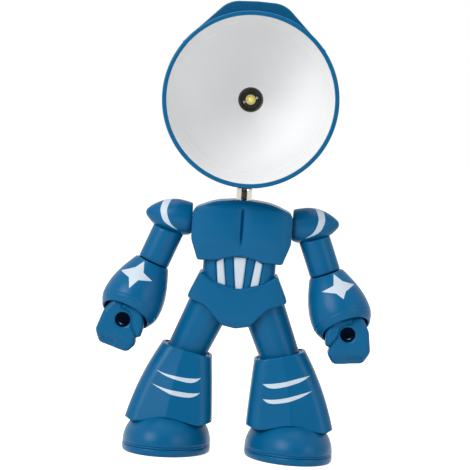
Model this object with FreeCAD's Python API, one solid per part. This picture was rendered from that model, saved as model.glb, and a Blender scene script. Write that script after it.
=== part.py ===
import FreeCAD, Part
import math
import os

from FreeCAD import Vector as V

os.makedirs("parts", exist_ok=True)

# Robot shaped desk lamp, in millimetres. +Z is up and the robot faces -Y.
# The origin is on the floor, half way between the feet.
# Left and right are the robot's own: its left side is at +X.

# Driving dimensions: fits and walls
WALL = 2.0
RUN_FIT = 0.06
BALL_FIT = 0.15
SEAT_GAP = 0.3
MOVE_ROOM = 0.6

# Driving dimensions: lamp head, turned about a level line that runs front to back
HEAD_Z = 170.9
HEAD_FRONT_Y = -30.0
RIM_RADIUS = 41.5
RIM_INNER_RADIUS = 39.4
RIM_ROUND = 0.7
RIM_LIP = 1.3
SHADE_STRAIGHT = 10.0
SHADE_TAPER = 0.5
SHADE_BULGE_RADIUS = 32.8
SHADE_BULGE_Y = 2.0
SHADE_BACK_RADIUS = 17.0
SHADE_BACK_Y = 22.0
BAND_DEPTH = 13.0
BAND_RADIUS = 35.3
BOWL_MID_RADIUS = 21.5
BOWL_MID_Y = 4.5
BOWL_BACK_Y = 14.0
LAMP_HOLE_RADIUS = 6.08
REFLECTOR_WALL = 1.2
HOLDER_BORE = 5.1
HOLDER_RADIUS = 8.5
HOLDER_DEPTH = 6.0
RING_STEP = 0.35
RING_STEPS = 2
BOARD_THICK = 1.2
LED_RADIUS = 2.2
LED_BASE = 0.8
LED_DOME_RADIUS = 1.98
LEAD_OFFSET = 3.3
LEAD_SIZE = 1.1
LEAD_ANGLE = 22.0
SINK_RADIUS = 13.0
SINK_THICK = 2.0
CAP_DEPTH = 6.5
CAP_EDGE_ROUND = 0.8
CAP_FLAT_RADIUS = 9.0
BUTTON_RADIUS = 3.4
BUTTON_PROUD = 1.5
BUTTON_TRAVEL = 1.2
SWITCH_RADIUS = 5.0
SWITCH_DEPTH = 2.6
SCREW_RADIUS = 0.9
SCREW_HEAD_RADIUS = 1.8
SCREW_HEAD = 1.2
CAP_SCREW_X = 9.6

# Driving dimensions: crest behind the rim, seen from the front about the head's centre
CREST_TOP = 46.4
CREST_SHOULDER_X = 15.9
CREST_SHOULDER_Z = 44.1
CREST_SIDE_X = 31.5
CREST_SIDE_Z = 27.5
CREST_FRONT_Y = -20.0
CREST_LENGTH = 28.0
CREST_SHRINK = 0.72
CREST_ROUND = 5.0

# Driving dimensions: head hinge and neck
HINGE_DROP = 38.7
HINGE_PIN_RADIUS = 1.5
EYE_RADIUS = 3.4
EYE_WIDTH = 6.0
EAR_THICK = 2.5
EAR_RADIUS = 3.6
PIN_PROUD = 0.6
BRIDGE_LENGTH = 14.0
BRIDGE_HEIGHT = 4.5
STEM_HEIGHT = 3.8
STEM_SPIGOT = 8.0
NECK_RADIUS = 3.8
NECK_WALL = 0.6
NECK_FLANGE = 1.4
NECK_FLANGE_RADIUS = 4.4
STOP_RING_HEIGHT = 3.0
SLEEVE_BORE = 4.65
SLEEVE_WALL = 1.0
SLEEVE_BOTTOM_Z = 80.0
BUSH_HEIGHT = 6.4
CHEST_HOLE_RADIUS = 4.1

# Driving dimensions: chest
CHEST_TOP_Z = 123.1
CHEST_SHOULDER_Z = 121.0
CHEST_HALF_WIDTH = 23.9
CHEST_WAIST_Z = 103.2
CHEST_BOTTOM_Z = 93.3
CHEST_BOTTOM_HALF_WIDTH = 20.3
CHEST_ARCH_Z = 96.7
CHEST_FRONT_Y = -15.3
CHEST_BREAST_ROUND = 60.0
CHEST_CORNER_Y = -12.2
CHEST_CORNER_INSET = 3.5
CHEST_CORNER_RUN = 6.0
CHEST_CORNER_ROUND = 3.0
CHEST_SIDE_ROUND = 5.0
CHEST_BACK_Y = 13.0
CHEST_BACK_RISE = 1.0
CHEST_FLANK_ROUND = 8.0
CHEST_EDGE = 1.2
CHEST_TOE_WIDTH = 8.0
CHEST_TOE_LIFT = 0.3
CHEST_TOE_ROUND = 6.0
CHEST_BEVEL = 1.1
CHEST_VALLEY_Z = 108.5
CHEST_VALLEY_HALF_HEIGHT = 13.3
CHEST_VALLEY_HALF_WIDTH = 4.0
CHEST_VALLEY_REACH = 3.0
CHEST_VALLEY_DEPTH = 1.4

# Driving dimensions: waist and pelvis
WAIST_HALF_WIDTH = 17.4
WAIST_HALF_DEPTH = 11.0
WAIST_CORNER = 6.0
WAIST_WALL = 1.8
PELVIS_TOP_HALF_WIDTH = 18.4
PELVIS_TOP_Z = 88.0
PELVIS_DIP_Z = 80.5
PELVIS_HALF_WIDTH = 24.1
PELVIS_SIDE_Z = 75.2
PELVIS_BOTTOM_Z = 61.5
PELVIS_HALF_DEPTH = 13.0
PELVIS_CROWN = 1.0
PELVIS_CROWN_ROUND = 60.0
PELVIS_SIDE_ROUND = 5.0
PELVIS_EDGE = 1.0
PELVIS_DIP_HALF_WIDTH = 12.0
PELVIS_DIP_RISE = 3.2
PELVIS_DIP_ROUND = 8.0
PELVIS_GROIN_X = 14.5
PELVIS_GROIN_Z = 71.4
PELVIS_GROIN_ROUND = 8.0
PELVIS_BOTTOM_HALF_WIDTH = 7.0
PELVIS_BOTTOM_LIFT = 1.4
PELVIS_BOTTOM_ROUND = 4.0

# Driving dimensions: electrics in the chest and the screws of the torso
CELL_HALF_WIDTH = 15.0
CELL_THICK = 4.2
CELL_LIFT = 0.8
CELL_HEIGHT = 19.0
CELL_ROUND = 1.0
CHARGE_HALF_WIDTH = 11.5
CHARGE_HEIGHT = 17.0
CHARGE_THICK = 1.0
SOCKET_HALF_WIDTH = 3.75
SOCKET_HEIGHT = 2.6
SOCKET_Z = 102.0
SOCKET_WALL = 0.4
SOCKET_DEPTH = 5.0
TONGUE_GAP = 1.0
TONGUE_HALF_THICK = 0.3
TONGUE_SET_BACK = 1.2
CHEST_SCREW_X = 18.0
CHEST_SCREW_Z = 100.5
PELVIS_SCREW_X = 18.8
PELVIS_SCREW_Z = 81.5
BOSS_RADIUS = 2.5
RIB_HALF_THICK = 0.8
RIB_TRIM = 2.0
RIB_SHARE = 0.75
POST_RADIUS = 1.6

# Driving dimensions: arm, for the side at +X
SHOULDER_Z = 112.0
AXLE_RADIUS = 2.0
AXLE_COLLAR_RADIUS = 3.5
AXLE_COLLAR = 1.6
PAD_RISE = 5.9
PAD_DROP = 0.2
PAD_LENGTH = 22.4
PAD_BASE_RADIUS = 7.2
PAD_RADIUS = 8.4
PAD_END_RADIUS = 0.3
ARM_RADIUS = 7.5
ARM_OFFSET = 8.8
ARM_LIFT = 0.3
ARM_SPLAY = 21.5
ARM_LENGTH = 23.7
ELBOW_PEG_RADIUS = 3.0
ELBOW_PEG = 5.5
CUFF_SPLAY = 24.0
CUFF_PITCH = 15.0
CUFF_TOP_RADIUS = 8.0
CUFF_RADIUS = 14.6
CUFF_SWELL = 22.0
CUFF_COLLAR = 4.0
CUFF_RUN_OUT = 3.5
CUFF_MOUTH_RADIUS = 12.3
CUFF_LENGTH = 31.0
CUFF_TRIM = 29.5
CUFF_TRIM_SLOPE = 0.23
CUFF_WALL = 1.5
CUFF_CEILING = 13.0
WRIST_RADIUS = 5.0
WRIST_PEG_RADIUS = 3.0
WRIST_PEG = 6.0

# Driving dimensions: hand, a closed fist round a bore that runs front to back
HAND_REACH = 31.3
HAND_SPLAY = 17.0
HAND_BORE_RADIUS = 3.7
HAND_HALF_WIDTH = 10.2
HAND_ABOVE = 8.5
HAND_BELOW = 14.0
HAND_HALF_DEPTH = 7.2
HAND_TOP_INSET = 1.8
HAND_CHEEK_Z = 1.0
HAND_CHEEK_ROUND = 5.0
HAND_HEEL_RISE = 4.5
HAND_HEEL_ROUND = 3.0
HAND_HEEL_INSET = 4.0
HAND_INNER_INSET = 0.5
HAND_CORNER_ROUND = 4.5
HAND_EDGE_ROUND = 3.5
FINGER_GROOVE = 0.6
FINGER_WIDTH = 3.6
THUMB_WIDTH = 6.0
THUMB_TOP = 6.5
THUMB_BOTTOM = -9.5
THUMB_NOTCH = 2.5
THUMB_ROUND = 2.5
THUMB_PROUD = 1.4
THUMB_EDGE = 1.0

# Driving dimensions: leg and boot, for the side at +X; boot edges are measured from the hip
HIP_X = 12.9
HIP_Z = 71.5
HIP_BALL_RADIUS = 9.2
HIP_SWING = 15.0
THIGH_SPLAY = 22.8
THIGH_TOP_RADIUS = 10.2
THIGH_COLLAR = 4.5
THIGH_COLLAR_ROUND = 2.0
THIGH_SHOULDER = 0.4
THIGH_START = 0.5
THIGH_BOTTOM_RADIUS = 9.3
THIGH_LENGTH = 31.0
BOOT_TOP_Z = 54.0
BOOT_TOP_INNER = -2.0
BOOT_TOP_OUTER = 20.4
BOOT_TOP_HALF_DEPTH = 13.0
BOOT_MID_Z = 34.0
BOOT_MID_INNER = -3.6
BOOT_MID_OUTER = 30.9
BOOT_MID_FRONT_Y = -17.0
BOOT_MID_BACK_Y = 15.0
BOOT_BOTTOM_Z = 14.0
BOOT_BOTTOM_INNER = -4.7
BOOT_BOTTOM_OUTER = 37.5
BOOT_BOTTOM_FRONT_Y = -21.0
BOOT_BOTTOM_BACK_Y = 18.0
BOOT_CORNER = 8.0
BOOT_RIDGE_SHARE = 0.52
BOOT_RIDGE = 3.0
BOOT_RIDGE_ROUND = 6.0
BOOT_TRIM_OUTER = 21.3
BOOT_TRIM_Z = 52.3
BOOT_TRIM_SLOPE = 12.5
BOOT_HOLLOW_Z = 24.0
BOOT_INSTEP_Z = 20.0
BOOT_INSTEP_Y = -6.0
BOOT_INSTEP_ROUND = 8.0
BOOT_INSTEP_RUN_OUT = 4.0

# Driving dimensions: foot
FOOT_OUT = 16.5
FOOT_Y = -2.0
FOOT_HALF_WIDTH = 20.6
FOOT_HALF_LENGTH = 26.5
FOOT_TOP_Z = 22.0
FOOT_TOE_OUT = 15.0
FOOT_SWING = 20.0
SOLE_THICK = 3.1
SOLE_GROOVE = 0.4
DOME_SINK = 1.0
SOLE_EDGE = 0.8
FOOT_WALL = 2.2
FOOT_PEG_RADIUS = 3.0
FOOT_PEG_BOTTOM_Z = 8.0
FOOT_BOSS_RADIUS = 5.5

# Derived places
HINGE_Z = HEAD_Z - HINGE_DROP
NECK_TOP_Z = HINGE_Z - STEM_HEIGHT
NECK_BOTTOM_Z = SLEEVE_BOTTOM_Z + SLEEVE_WALL + SEAT_GAP
ARM_TOP_X = CHEST_HALF_WIDTH + ARM_OFFSET
FOOT_X = HIP_X + FOOT_OUT
CELL_BOTTOM_Z = CHEST_ARCH_Z + WALL + CELL_LIFT
CHEST_INNER_TOP_Z = CHEST_TOP_Z - WALL
BUSH_BOTTOM_Z = CHEST_INNER_TOP_Z - BUSH_HEIGHT
SLEEVE_RADIUS = SLEEVE_BORE + SLEEVE_WALL
HOLDER_BACK_Y = BOWL_BACK_Y + HOLDER_DEPTH
CAP_BACK_Y = SHADE_BACK_Y + CAP_DEPTH
FAR = 200.0
BITE = 1.0
FORM_SPARE = 0.1

UP = V(0, 0, 1)
ALONG_X = V(1, 0, 0)
ALONG_Y = V(0, 1, 0)
HEAD_CENTRE = V(0, 0, HEAD_Z)


def front_view(y=0.0):
    """Places (u, v) as X and Z, at depth y."""
    return lambda u, v: V(u, y, v)


def plan_view(z=0.0):
    """Places (u, v) as X and Y, at height z."""
    return lambda u, v: V(u, v, z)


def side_view(x=0.0):
    """Places (u, v) as Y and Z, at side position x."""
    return lambda u, v: V(x, u, v)


def corner_arc(before, corner, after, radius):
    """Two tangent points and the middle point of the arc that rounds a corner."""
    back = (before - corner).normalize()
    ahead = (after - corner).normalize()
    half = math.acos(max(-1.0, min(1.0, back.dot(ahead)))) / 2
    reach = radius / math.tan(half)
    inward = (back + ahead).normalize()
    middle = corner + inward * (radius / math.sin(half) - radius)
    return corner + back * reach, middle, corner + ahead * reach


def outline(corners, place):
    """Closed wire through corners (u, v, radius), where each corner is rounded by its radius."""
    points = [place(u, v) for u, v, radius in corners]
    count = len(points)
    ends = []
    for i, (u, v, radius) in enumerate(corners):
        if radius > 0:
            ends.append(corner_arc(points[i - 1], points[i], points[(i + 1) % count], radius))
        else:
            ends.append((points[i], None, points[i]))
    edges = []
    for i, (start, middle, stop) in enumerate(ends):
        if middle is not None:
            edges.append(Part.Arc(start, middle, stop).toShape())
        following = ends[(i + 1) % count][0]
        if (following - stop).Length > 1e-6:
            edges.append(Part.LineSegment(stop, following).toShape())
    return Part.Wire(edges)


def mirrored(corners):
    """Corners of the +X half, from top to bottom, joined to their mirror image."""
    other = [(-u, v, radius) for u, v, radius in reversed(corners) if abs(u) > 1e-9]
    return corners + other


def prism(corners, place, travel, inset=0.0):
    """Solid of a rounded outline, drawn in by an inset, that is moved along a vector."""
    face = Part.Face(outline(corners, place))
    if inset > 0:
        face = Part.Face(face.makeOffset2D(-inset).OuterWire)
    return face.extrude(travel)


def placed(shape, base, direction):
    """The shape, drawn about +Z from the origin, stood at base along a direction."""
    copy = shape.copy()
    copy.Placement = FreeCAD.Placement(base, FreeCAD.Rotation(UP, direction))
    return copy


def turned(corners, base, direction):
    """Solid of revolution: corners (distance along the axis, radius, corner rounding)."""
    wire = outline([(r, s, rounding) for s, r, rounding in corners], front_view())
    return placed(Part.Face(wire).revolve(V(0, 0, 0), UP, 360), base, direction)


def turned_curve(points, base, direction):
    """Solid of revolution whose side is one smooth curve through (distance, radius) points."""
    curve = Part.BSplineCurve()
    curve.interpolate([V(r, 0, s) for s, r in points])
    first = V(0, 0, points[0][0])
    last = V(0, 0, points[-1][0])
    edges = [curve.toShape(), Part.LineSegment(V(points[-1][1], 0, points[-1][0]), last).toShape(),
             Part.LineSegment(last, first).toShape(),
             Part.LineSegment(first, V(points[0][1], 0, points[0][0])).toShape()]
    return placed(Part.Face(Part.Wire(edges)).revolve(V(0, 0, 0), UP, 360), base, direction)


def rod(radius, base, direction, length):
    """Round bar from base along a direction."""
    return Part.makeCylinder(radius, length, base, direction)


def tube(outer, bore, base, direction, length):
    """Round bar with a bore right through."""
    return rod(outer, base, direction, length).cut(rod(bore, base, direction, length))


def block(x0, x1, y0, y1, z0, z1):
    """Box between two corners."""
    return Part.makeBox(x1 - x0, y1 - y0, z1 - z0, V(x0, y0, z0))


def beyond(base, direction):
    """Half space past a plane, as a box of far more than the lamp's size."""
    slab = Part.makeBox(2 * FAR, 2 * FAR, FAR, V(-FAR, -FAR, 0))
    return placed(slab, base, direction)


def both_sides(left):
    """The shape of the left side, and its mirror image for the right."""
    return {"left": left, "right": left.mirror(V(0, 0, 0), ALONG_X)}


def egg(centre, half_x, half_y, half_z):
    """Ball that is stretched to its own half width, depth and height."""
    ball = Part.makeSphere(half_z)
    stretch = FreeCAD.Matrix()
    stretch.scale(V(half_x / half_z, half_y / half_z, 1))
    copy = ball.transformGeometry(stretch)
    copy.translate(centre)
    return copy


def joined(shapes):
    """Separate solids that share one node."""
    return Part.makeCompound(shapes)


def direction_down(splay, pitch=0.0):
    """Unit vector that points down, turned outwards by splay and then forwards by pitch."""
    out = math.radians(splay)
    ahead = math.radians(pitch)
    return V(math.sin(out) * math.cos(ahead), -math.sin(ahead), -math.cos(out) * math.cos(ahead))


def turned_about_x(shape, centre, angle):
    """Copy of a shape that is turned about a line along X."""
    copy = shape.copy()
    copy.rotate(centre, ALONG_X, angle)
    return copy


# Head

def shade_side(inset):
    """Edges of the shade's side from the rim to the back: a straight skirt and one long arc."""
    skirt_end_y = HEAD_FRONT_Y + SHADE_STRAIGHT
    rim = V(RIM_RADIUS - inset, 0, HEAD_FRONT_Y)
    skirt_end = V(RIM_RADIUS - SHADE_TAPER - inset, 0, skirt_end_y)
    bulge = V(SHADE_BULGE_RADIUS - inset, 0, SHADE_BULGE_Y)
    back = V(SHADE_BACK_RADIUS - inset, 0, SHADE_BACK_Y)
    return rim, skirt_end, bulge, back


def shade_solid(inset=0.0, front=0.0):
    """The filled form of the shade, drawn in by an inset and cut back at the front."""
    rim, skirt_end, bulge, back = shade_side(inset)
    rim = V(rim.x, 0, rim.z + front)
    edges = [Part.LineSegment(V(0, 0, rim.z), rim).toShape(),
             Part.LineSegment(rim, skirt_end).toShape(),
             Part.Arc(skirt_end, bulge, back).toShape(),
             Part.LineSegment(back, V(0, 0, back.z)).toShape(),
             Part.LineSegment(V(0, 0, back.z), V(0, 0, rim.z)).toShape()]
    solid = Part.Face(Part.Wire(edges)).revolve(V(0, 0, 0), UP, 360)
    return placed(solid, HEAD_CENTRE, ALONG_Y)


def along_head(y):
    """Point on the head's axis."""
    return V(0, y, HEAD_Z)


def make_shade():
    """Blue outer shell with a rolled front lip and an open back."""
    outer = shade_solid()
    rim_edges = [e for e in outer.Edges if abs(e.BoundBox.YMin - HEAD_FRONT_Y) < 1e-3
                 and abs(e.BoundBox.YMax - HEAD_FRONT_Y) < 1e-3 and e.BoundBox.XLength > RIM_RADIUS]
    outer = outer.makeFillet(RIM_ROUND, rim_edges)
    hollow = shade_solid(RIM_LIP, RIM_LIP)
    mouth = rod(RIM_INNER_RADIUS, along_head(HEAD_FRONT_Y - BITE), ALONG_Y, RIM_LIP + 2 * BITE)
    back_hole = rod(SHADE_BACK_RADIUS - RIM_LIP, along_head(SHADE_BACK_Y - WALL), ALONG_Y, 2 * WALL)
    return outer.cut(hollow).cut(mouth).cut(back_hole)


def make_reflector():
    """White inner bowl: a straight band behind the rim, then a deep round bowl to the lamp hole."""
    front_y = HEAD_FRONT_Y + RIM_LIP
    band_y = HEAD_FRONT_Y + BAND_DEPTH
    inner = [V(RIM_INNER_RADIUS, 0, front_y), V(BAND_RADIUS, 0, band_y),
             V(BOWL_MID_RADIUS, 0, BOWL_MID_Y), V(LAMP_HOLE_RADIUS, 0, BOWL_BACK_Y)]
    outer_rim = V(RIM_RADIUS - RIM_LIP - SEAT_GAP / 3, 0, front_y)
    outer_band = inner[1] + V(REFLECTOR_WALL, 0, REFLECTOR_WALL / 2)
    outer_mid = inner[2] + V(REFLECTOR_WALL, 0, REFLECTOR_WALL)
    outer_back = inner[3] + V(REFLECTOR_WALL, 0, 0)
    edges = [Part.LineSegment(inner[0], inner[1]).toShape(),
             Part.Arc(inner[1], inner[2], inner[3]).toShape(),
             Part.LineSegment(inner[3], outer_back).toShape(),
             Part.Arc(outer_back, outer_mid, outer_band).toShape(),
             Part.LineSegment(outer_band, outer_rim).toShape(),
             Part.LineSegment(outer_rim, inner[0]).toShape()]
    solid = Part.Face(Part.Wire(edges)).revolve(V(0, 0, 0), UP, 360)
    return placed(solid, HEAD_CENTRE, ALONG_Y)


def make_lamp_parts():
    """Lamp holder with stepped rings in its bore, light source on its board, and heat sink."""
    holder = tube(HOLDER_RADIUS, HOLDER_BORE, along_head(BOWL_BACK_Y), ALONG_Y, HOLDER_DEPTH)
    board_y = HOLDER_BACK_Y - BOARD_THICK
    for step in range(1, RING_STEPS + 1):
        depth = HOLDER_DEPTH - BOARD_THICK - step * BOARD_THICK
        ring = rod(HOLDER_BORE + step * RING_STEP, along_head(BOWL_BACK_Y - BITE), ALONG_Y, depth)
        holder = holder.cut(ring)
    board = rod(HOLDER_BORE - RUN_FIT, along_head(board_y), ALONG_Y, BOARD_THICK)
    source = rod(LED_RADIUS, along_head(board_y - LED_BASE), ALONG_Y, LED_BASE)
    dome = Part.makeSphere(LED_DOME_RADIUS, along_head(board_y - LED_BASE))
    source = source.fuse(dome.cut(beyond(along_head(board_y - LED_BASE), ALONG_Y))).removeSplitter()
    leads = []
    for side in (-1, 1):
        slope = math.radians(LEAD_ANGLE)
        x = side * LEAD_OFFSET * math.cos(slope)
        z = HEAD_Z + side * LEAD_OFFSET * math.sin(slope)
        half = LEAD_SIZE / 2
        lead = block(x - half, x + half, board_y - LED_BASE / 2, board_y, z - half, z + half)
        leads.append(lead)
    sink = rod(SINK_RADIUS, along_head(HOLDER_BACK_Y), ALONG_Y, SINK_THICK)
    for side in (-1, 1):
        sink = sink.cut(rod(SCREW_RADIUS, V(side * CAP_SCREW_X, 0, HEAD_Z), ALONG_Y, FAR))
    return holder, board, source, joined(leads), sink


def make_cap_parts():
    """Rear cap with a spigot that holds the heat sink, its screws, the switch and the push button."""
    button_hole = BUTTON_RADIUS + RUN_FIT
    skin = [(SHADE_BACK_Y, 0, 0), (SHADE_BACK_Y, SHADE_BACK_RADIUS, CAP_EDGE_ROUND),
            (CAP_BACK_Y, CAP_FLAT_RADIUS, CAP_DEPTH / 2), (CAP_BACK_Y, 0, 0)]
    cap = turned(skin, HEAD_CENTRE, ALONG_Y)
    hollow = [(SHADE_BACK_Y - BITE, 0, 0), (SHADE_BACK_Y - BITE, SINK_RADIUS, 0),
              (CAP_BACK_Y - WALL, CAP_FLAT_RADIUS - WALL / 2, 0), (CAP_BACK_Y - WALL, 0, 0)]
    cap = cap.cut(turned(hollow, HEAD_CENTRE, ALONG_Y))
    spigot_outer = SHADE_BACK_RADIUS - RIM_LIP - RUN_FIT
    spigot = tube(spigot_outer, SINK_RADIUS + RUN_FIT, along_head(HOLDER_BACK_Y), ALONG_Y,
                  SHADE_BACK_Y - HOLDER_BACK_Y + WALL / 2)
    cap = cap.fuse(spigot)
    screws = []
    for side in (-1, 1):
        seat = V(side * CAP_SCREW_X, CAP_BACK_Y - WALL, HEAD_Z)
        start = V(seat.x, HOLDER_BACK_Y + SINK_THICK, HEAD_Z)
        boss = rod(BOSS_RADIUS, start, ALONG_Y, seat.y - start.y + SCREW_HEAD / 2)
        cap = cap.fuse(boss.common(turned(skin, HEAD_CENTRE, ALONG_Y)))
        cap = cap.cut(rod(SCREW_HEAD_RADIUS + RUN_FIT, seat, ALONG_Y, 2 * WALL))
        cap = cap.cut(rod(SCREW_RADIUS, start - ALONG_Y * BITE, ALONG_Y, CAP_DEPTH + BITE))
        shank = rod(SCREW_RADIUS, V(seat.x, HOLDER_BACK_Y + SINK_THICK / 2, HEAD_Z), ALONG_Y,
                    seat.y - HOLDER_BACK_Y)
        screws.append(shank.fuse(rod(SCREW_HEAD_RADIUS, seat, ALONG_Y, SCREW_HEAD)).removeSplitter())
    cap = cap.cut(rod(button_hole, along_head(SHADE_BACK_Y), ALONG_Y, 2 * CAP_DEPTH))
    switch_front_y = HOLDER_BACK_Y + SINK_THICK
    switch = rod(SWITCH_RADIUS, along_head(switch_front_y), ALONG_Y, SWITCH_DEPTH)
    button_bottom_y = switch_front_y + SWITCH_DEPTH + BUTTON_TRAVEL + SEAT_GAP
    button_top_y = CAP_BACK_Y + BUTTON_PROUD
    button = rod(BUTTON_RADIUS, along_head(button_bottom_y), ALONG_Y, button_top_y - button_bottom_y)
    round_edges = [e for e in button.Edges if abs(e.BoundBox.YMin - button_top_y) < 1e-3]
    button = button.makeFillet(BUTTON_PROUD / 3, round_edges)
    return cap.removeSplitter(), joined(screws), switch, button


def make_crest():
    """Crest over the back of the rim, which shrinks towards the rear along the shade."""
    half = [(0, CREST_TOP, 0), (CREST_SHOULDER_X, CREST_SHOULDER_Z, CREST_ROUND),
            (CREST_SIDE_X, CREST_SIDE_Z, 0), (CREST_SIDE_X - CREST_ROUND, CREST_SIDE_Z - CREST_ROUND, 0)]
    corners = mirrored(half)
    wires = []
    for share in (0.0, 1.0):
        size = 1 - share * (1 - CREST_SHRINK)
        scaled = [(u * size, v * size, r * size) for u, v, r in corners]
        y = CREST_FRONT_Y + share * CREST_LENGTH
        wires.append(outline([(u, HEAD_Z + v, r) for u, v, r in scaled], front_view(y)))
    loft = Part.makeLoft(wires, True, True)
    return loft.cut(shade_solid())


def make_hinge_parts():
    """Bracket of two ears under the shade, hinge pin, and the neck's knuckle between the ears."""
    centre = V(0, 0, HINGE_Z)
    inner_x = EYE_WIDTH / 2 + SEAT_GAP
    outer_x = inner_x + EAR_THICK
    bridge_z = HINGE_Z + EYE_RADIUS + SEAT_GAP * 2
    shade = shade_solid()
    bridge = block(-outer_x, outer_x, -BRIDGE_LENGTH / 2, BRIDGE_LENGTH / 2, bridge_z,
                   bridge_z + BRIDGE_HEIGHT)
    ears = rod(EAR_RADIUS, V(-outer_x, 0, HINGE_Z), ALONG_X, 2 * outer_x)
    web = block(-outer_x, outer_x, -EAR_RADIUS, EAR_RADIUS, HINGE_Z, bridge_z + BITE)
    gap = block(-inner_x, inner_x, -FAR, FAR, HINGE_Z - FAR / 2, bridge_z)
    bracket = bridge.fuse(ears).fuse(web).cut(gap).cut(shade)
    bracket = bracket.cut(rod(HINGE_PIN_RADIUS, V(-FAR / 2, 0, HINGE_Z), ALONG_X, FAR))
    pin = rod(HINGE_PIN_RADIUS, V(-outer_x - PIN_PROUD, 0, HINGE_Z), ALONG_X, 2 * (outer_x + PIN_PROUD))
    eye = rod(EYE_RADIUS, V(-EYE_WIDTH / 2, 0, HINGE_Z), ALONG_X, EYE_WIDTH)
    stem_radius = EYE_WIDTH / 2
    stem = rod(stem_radius, V(0, 0, NECK_TOP_Z - FORM_SPARE), UP, STEM_HEIGHT)
    spigot = rod(NECK_RADIUS - NECK_WALL, V(0, 0, NECK_TOP_Z - STEM_SPIGOT), UP, STEM_SPIGOT)
    knuckle = eye.fuse(stem).fuse(spigot)
    knuckle = knuckle.cut(rod(HINGE_PIN_RADIUS + RUN_FIT, centre - ALONG_X * FAR / 2, ALONG_X, FAR))
    solids = sorted(bracket.Solids, key=lambda s: s.Volume)
    return solids[-1], pin, knuckle.removeSplitter()


# Neck

def make_neck_parts():
    """Chrome tube with a flange at its foot, stop ring on the flange, sleeve and top bush."""
    pipe = tube(NECK_RADIUS, NECK_RADIUS - NECK_WALL, V(0, 0, NECK_BOTTOM_Z), UP, NECK_TOP_Z - NECK_BOTTOM_Z)
    flange = tube(NECK_FLANGE_RADIUS, NECK_RADIUS - NECK_WALL, V(0, 0, NECK_BOTTOM_Z), UP, NECK_FLANGE)
    pipe = pipe.fuse(flange).removeSplitter()
    ring_z = NECK_BOTTOM_Z + NECK_FLANGE + RUN_FIT
    ring = tube(SLEEVE_BORE - RUN_FIT, NECK_RADIUS + RUN_FIT, V(0, 0, ring_z), UP, STOP_RING_HEIGHT)
    sleeve = rod(SLEEVE_RADIUS, V(0, 0, SLEEVE_BOTTOM_Z), UP, BUSH_BOTTOM_Z - SLEEVE_BOTTOM_Z)
    bore_z = SLEEVE_BOTTOM_Z + SLEEVE_WALL
    sleeve = sleeve.cut(rod(SLEEVE_BORE, V(0, 0, bore_z), UP, FAR))
    bush = tube(SLEEVE_RADIUS, NECK_RADIUS + RUN_FIT, V(0, 0, BUSH_BOTTOM_Z), UP, BUSH_HEIGHT)
    return pipe, ring, sleeve, bush


# Torso

def chest_form(inset=0.0):
    """Chest: a rounded front outline through a plan that swells softly to the front."""
    toe_x = CHEST_BOTTOM_HALF_WIDTH - CHEST_TOE_WIDTH
    front = mirrored([(0, CHEST_TOP_Z, 0), (CHEST_HALF_WIDTH, CHEST_SHOULDER_Z, CHEST_SIDE_ROUND),
                      (CHEST_HALF_WIDTH, CHEST_WAIST_Z, CHEST_FLANK_ROUND),
                      (CHEST_BOTTOM_HALF_WIDTH, CHEST_BOTTOM_Z, CHEST_EDGE),
                      (toe_x, CHEST_BOTTOM_Z + CHEST_TOE_LIFT, CHEST_TOE_ROUND), (0, CHEST_ARCH_Z, 0)])
    side_x = CHEST_HALF_WIDTH + FORM_SPARE
    plan = mirrored([(0, CHEST_FRONT_Y, CHEST_BREAST_ROUND),
                     (CHEST_HALF_WIDTH - CHEST_CORNER_INSET, CHEST_CORNER_Y, CHEST_CORNER_ROUND),
                     (side_x, CHEST_CORNER_Y + CHEST_CORNER_RUN, CHEST_SIDE_ROUND),
                     (side_x, CHEST_BACK_Y - CHEST_BACK_RISE, CHEST_SIDE_ROUND), (0, CHEST_BACK_Y, 0)])
    across = prism(front, front_view(-FAR / 2), ALONG_Y * FAR, inset)
    upright = prism(plan, plan_view(0), UP * FAR, inset)
    return across.common(upright)


def chest_skin():
    """The chest's outer form, with a bevel along its top and a soft valley down the breast."""
    skin = chest_form()
    lean = (CHEST_CORNER_Y - CHEST_FRONT_Y + CHEST_TOP_Z - CHEST_SHOULDER_Z) / CHEST_HALF_WIDTH
    edge = V(0, CHEST_FRONT_Y, CHEST_TOP_Z - CHEST_BEVEL)
    for side in (-1, 1):
        skin = skin.cut(beyond(edge, V(side * lean, -1, 1)))
    valley = V(0, CHEST_FRONT_Y + CHEST_VALLEY_DEPTH - CHEST_VALLEY_REACH, CHEST_VALLEY_Z)
    return skin.cut(egg(valley, CHEST_VALLEY_HALF_WIDTH, CHEST_VALLEY_REACH, CHEST_VALLEY_HALF_HEIGHT))


def pelvis_form(inset=0.0):
    """Pelvis: a notched top, wide hips and a narrow bottom between the thighs."""
    front = mirrored([(0, PELVIS_DIP_Z, 0),
                      (PELVIS_DIP_HALF_WIDTH, PELVIS_DIP_Z + PELVIS_DIP_RISE, PELVIS_DIP_ROUND),
                      (PELVIS_TOP_HALF_WIDTH, PELVIS_TOP_Z, PELVIS_EDGE),
                      (PELVIS_HALF_WIDTH, PELVIS_SIDE_Z, PELVIS_EDGE),
                      (PELVIS_GROIN_X, PELVIS_GROIN_Z, PELVIS_GROIN_ROUND),
                      (PELVIS_BOTTOM_HALF_WIDTH, PELVIS_BOTTOM_Z + PELVIS_BOTTOM_LIFT, PELVIS_BOTTOM_ROUND),
                      (0, PELVIS_BOTTOM_Z, 0)])
    side_x = PELVIS_HALF_WIDTH + FORM_SPARE
    plan = mirrored([(0, -PELVIS_HALF_DEPTH, PELVIS_CROWN_ROUND),
                     (side_x, PELVIS_CROWN - PELVIS_HALF_DEPTH, PELVIS_SIDE_ROUND),
                     (side_x, PELVIS_HALF_DEPTH, PELVIS_SIDE_ROUND)])
    across = prism(front, front_view(-FAR / 2), ALONG_Y * FAR, inset)
    upright = prism(plan, plan_view(0), UP * FAR, inset)
    return across.common(upright)


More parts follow.
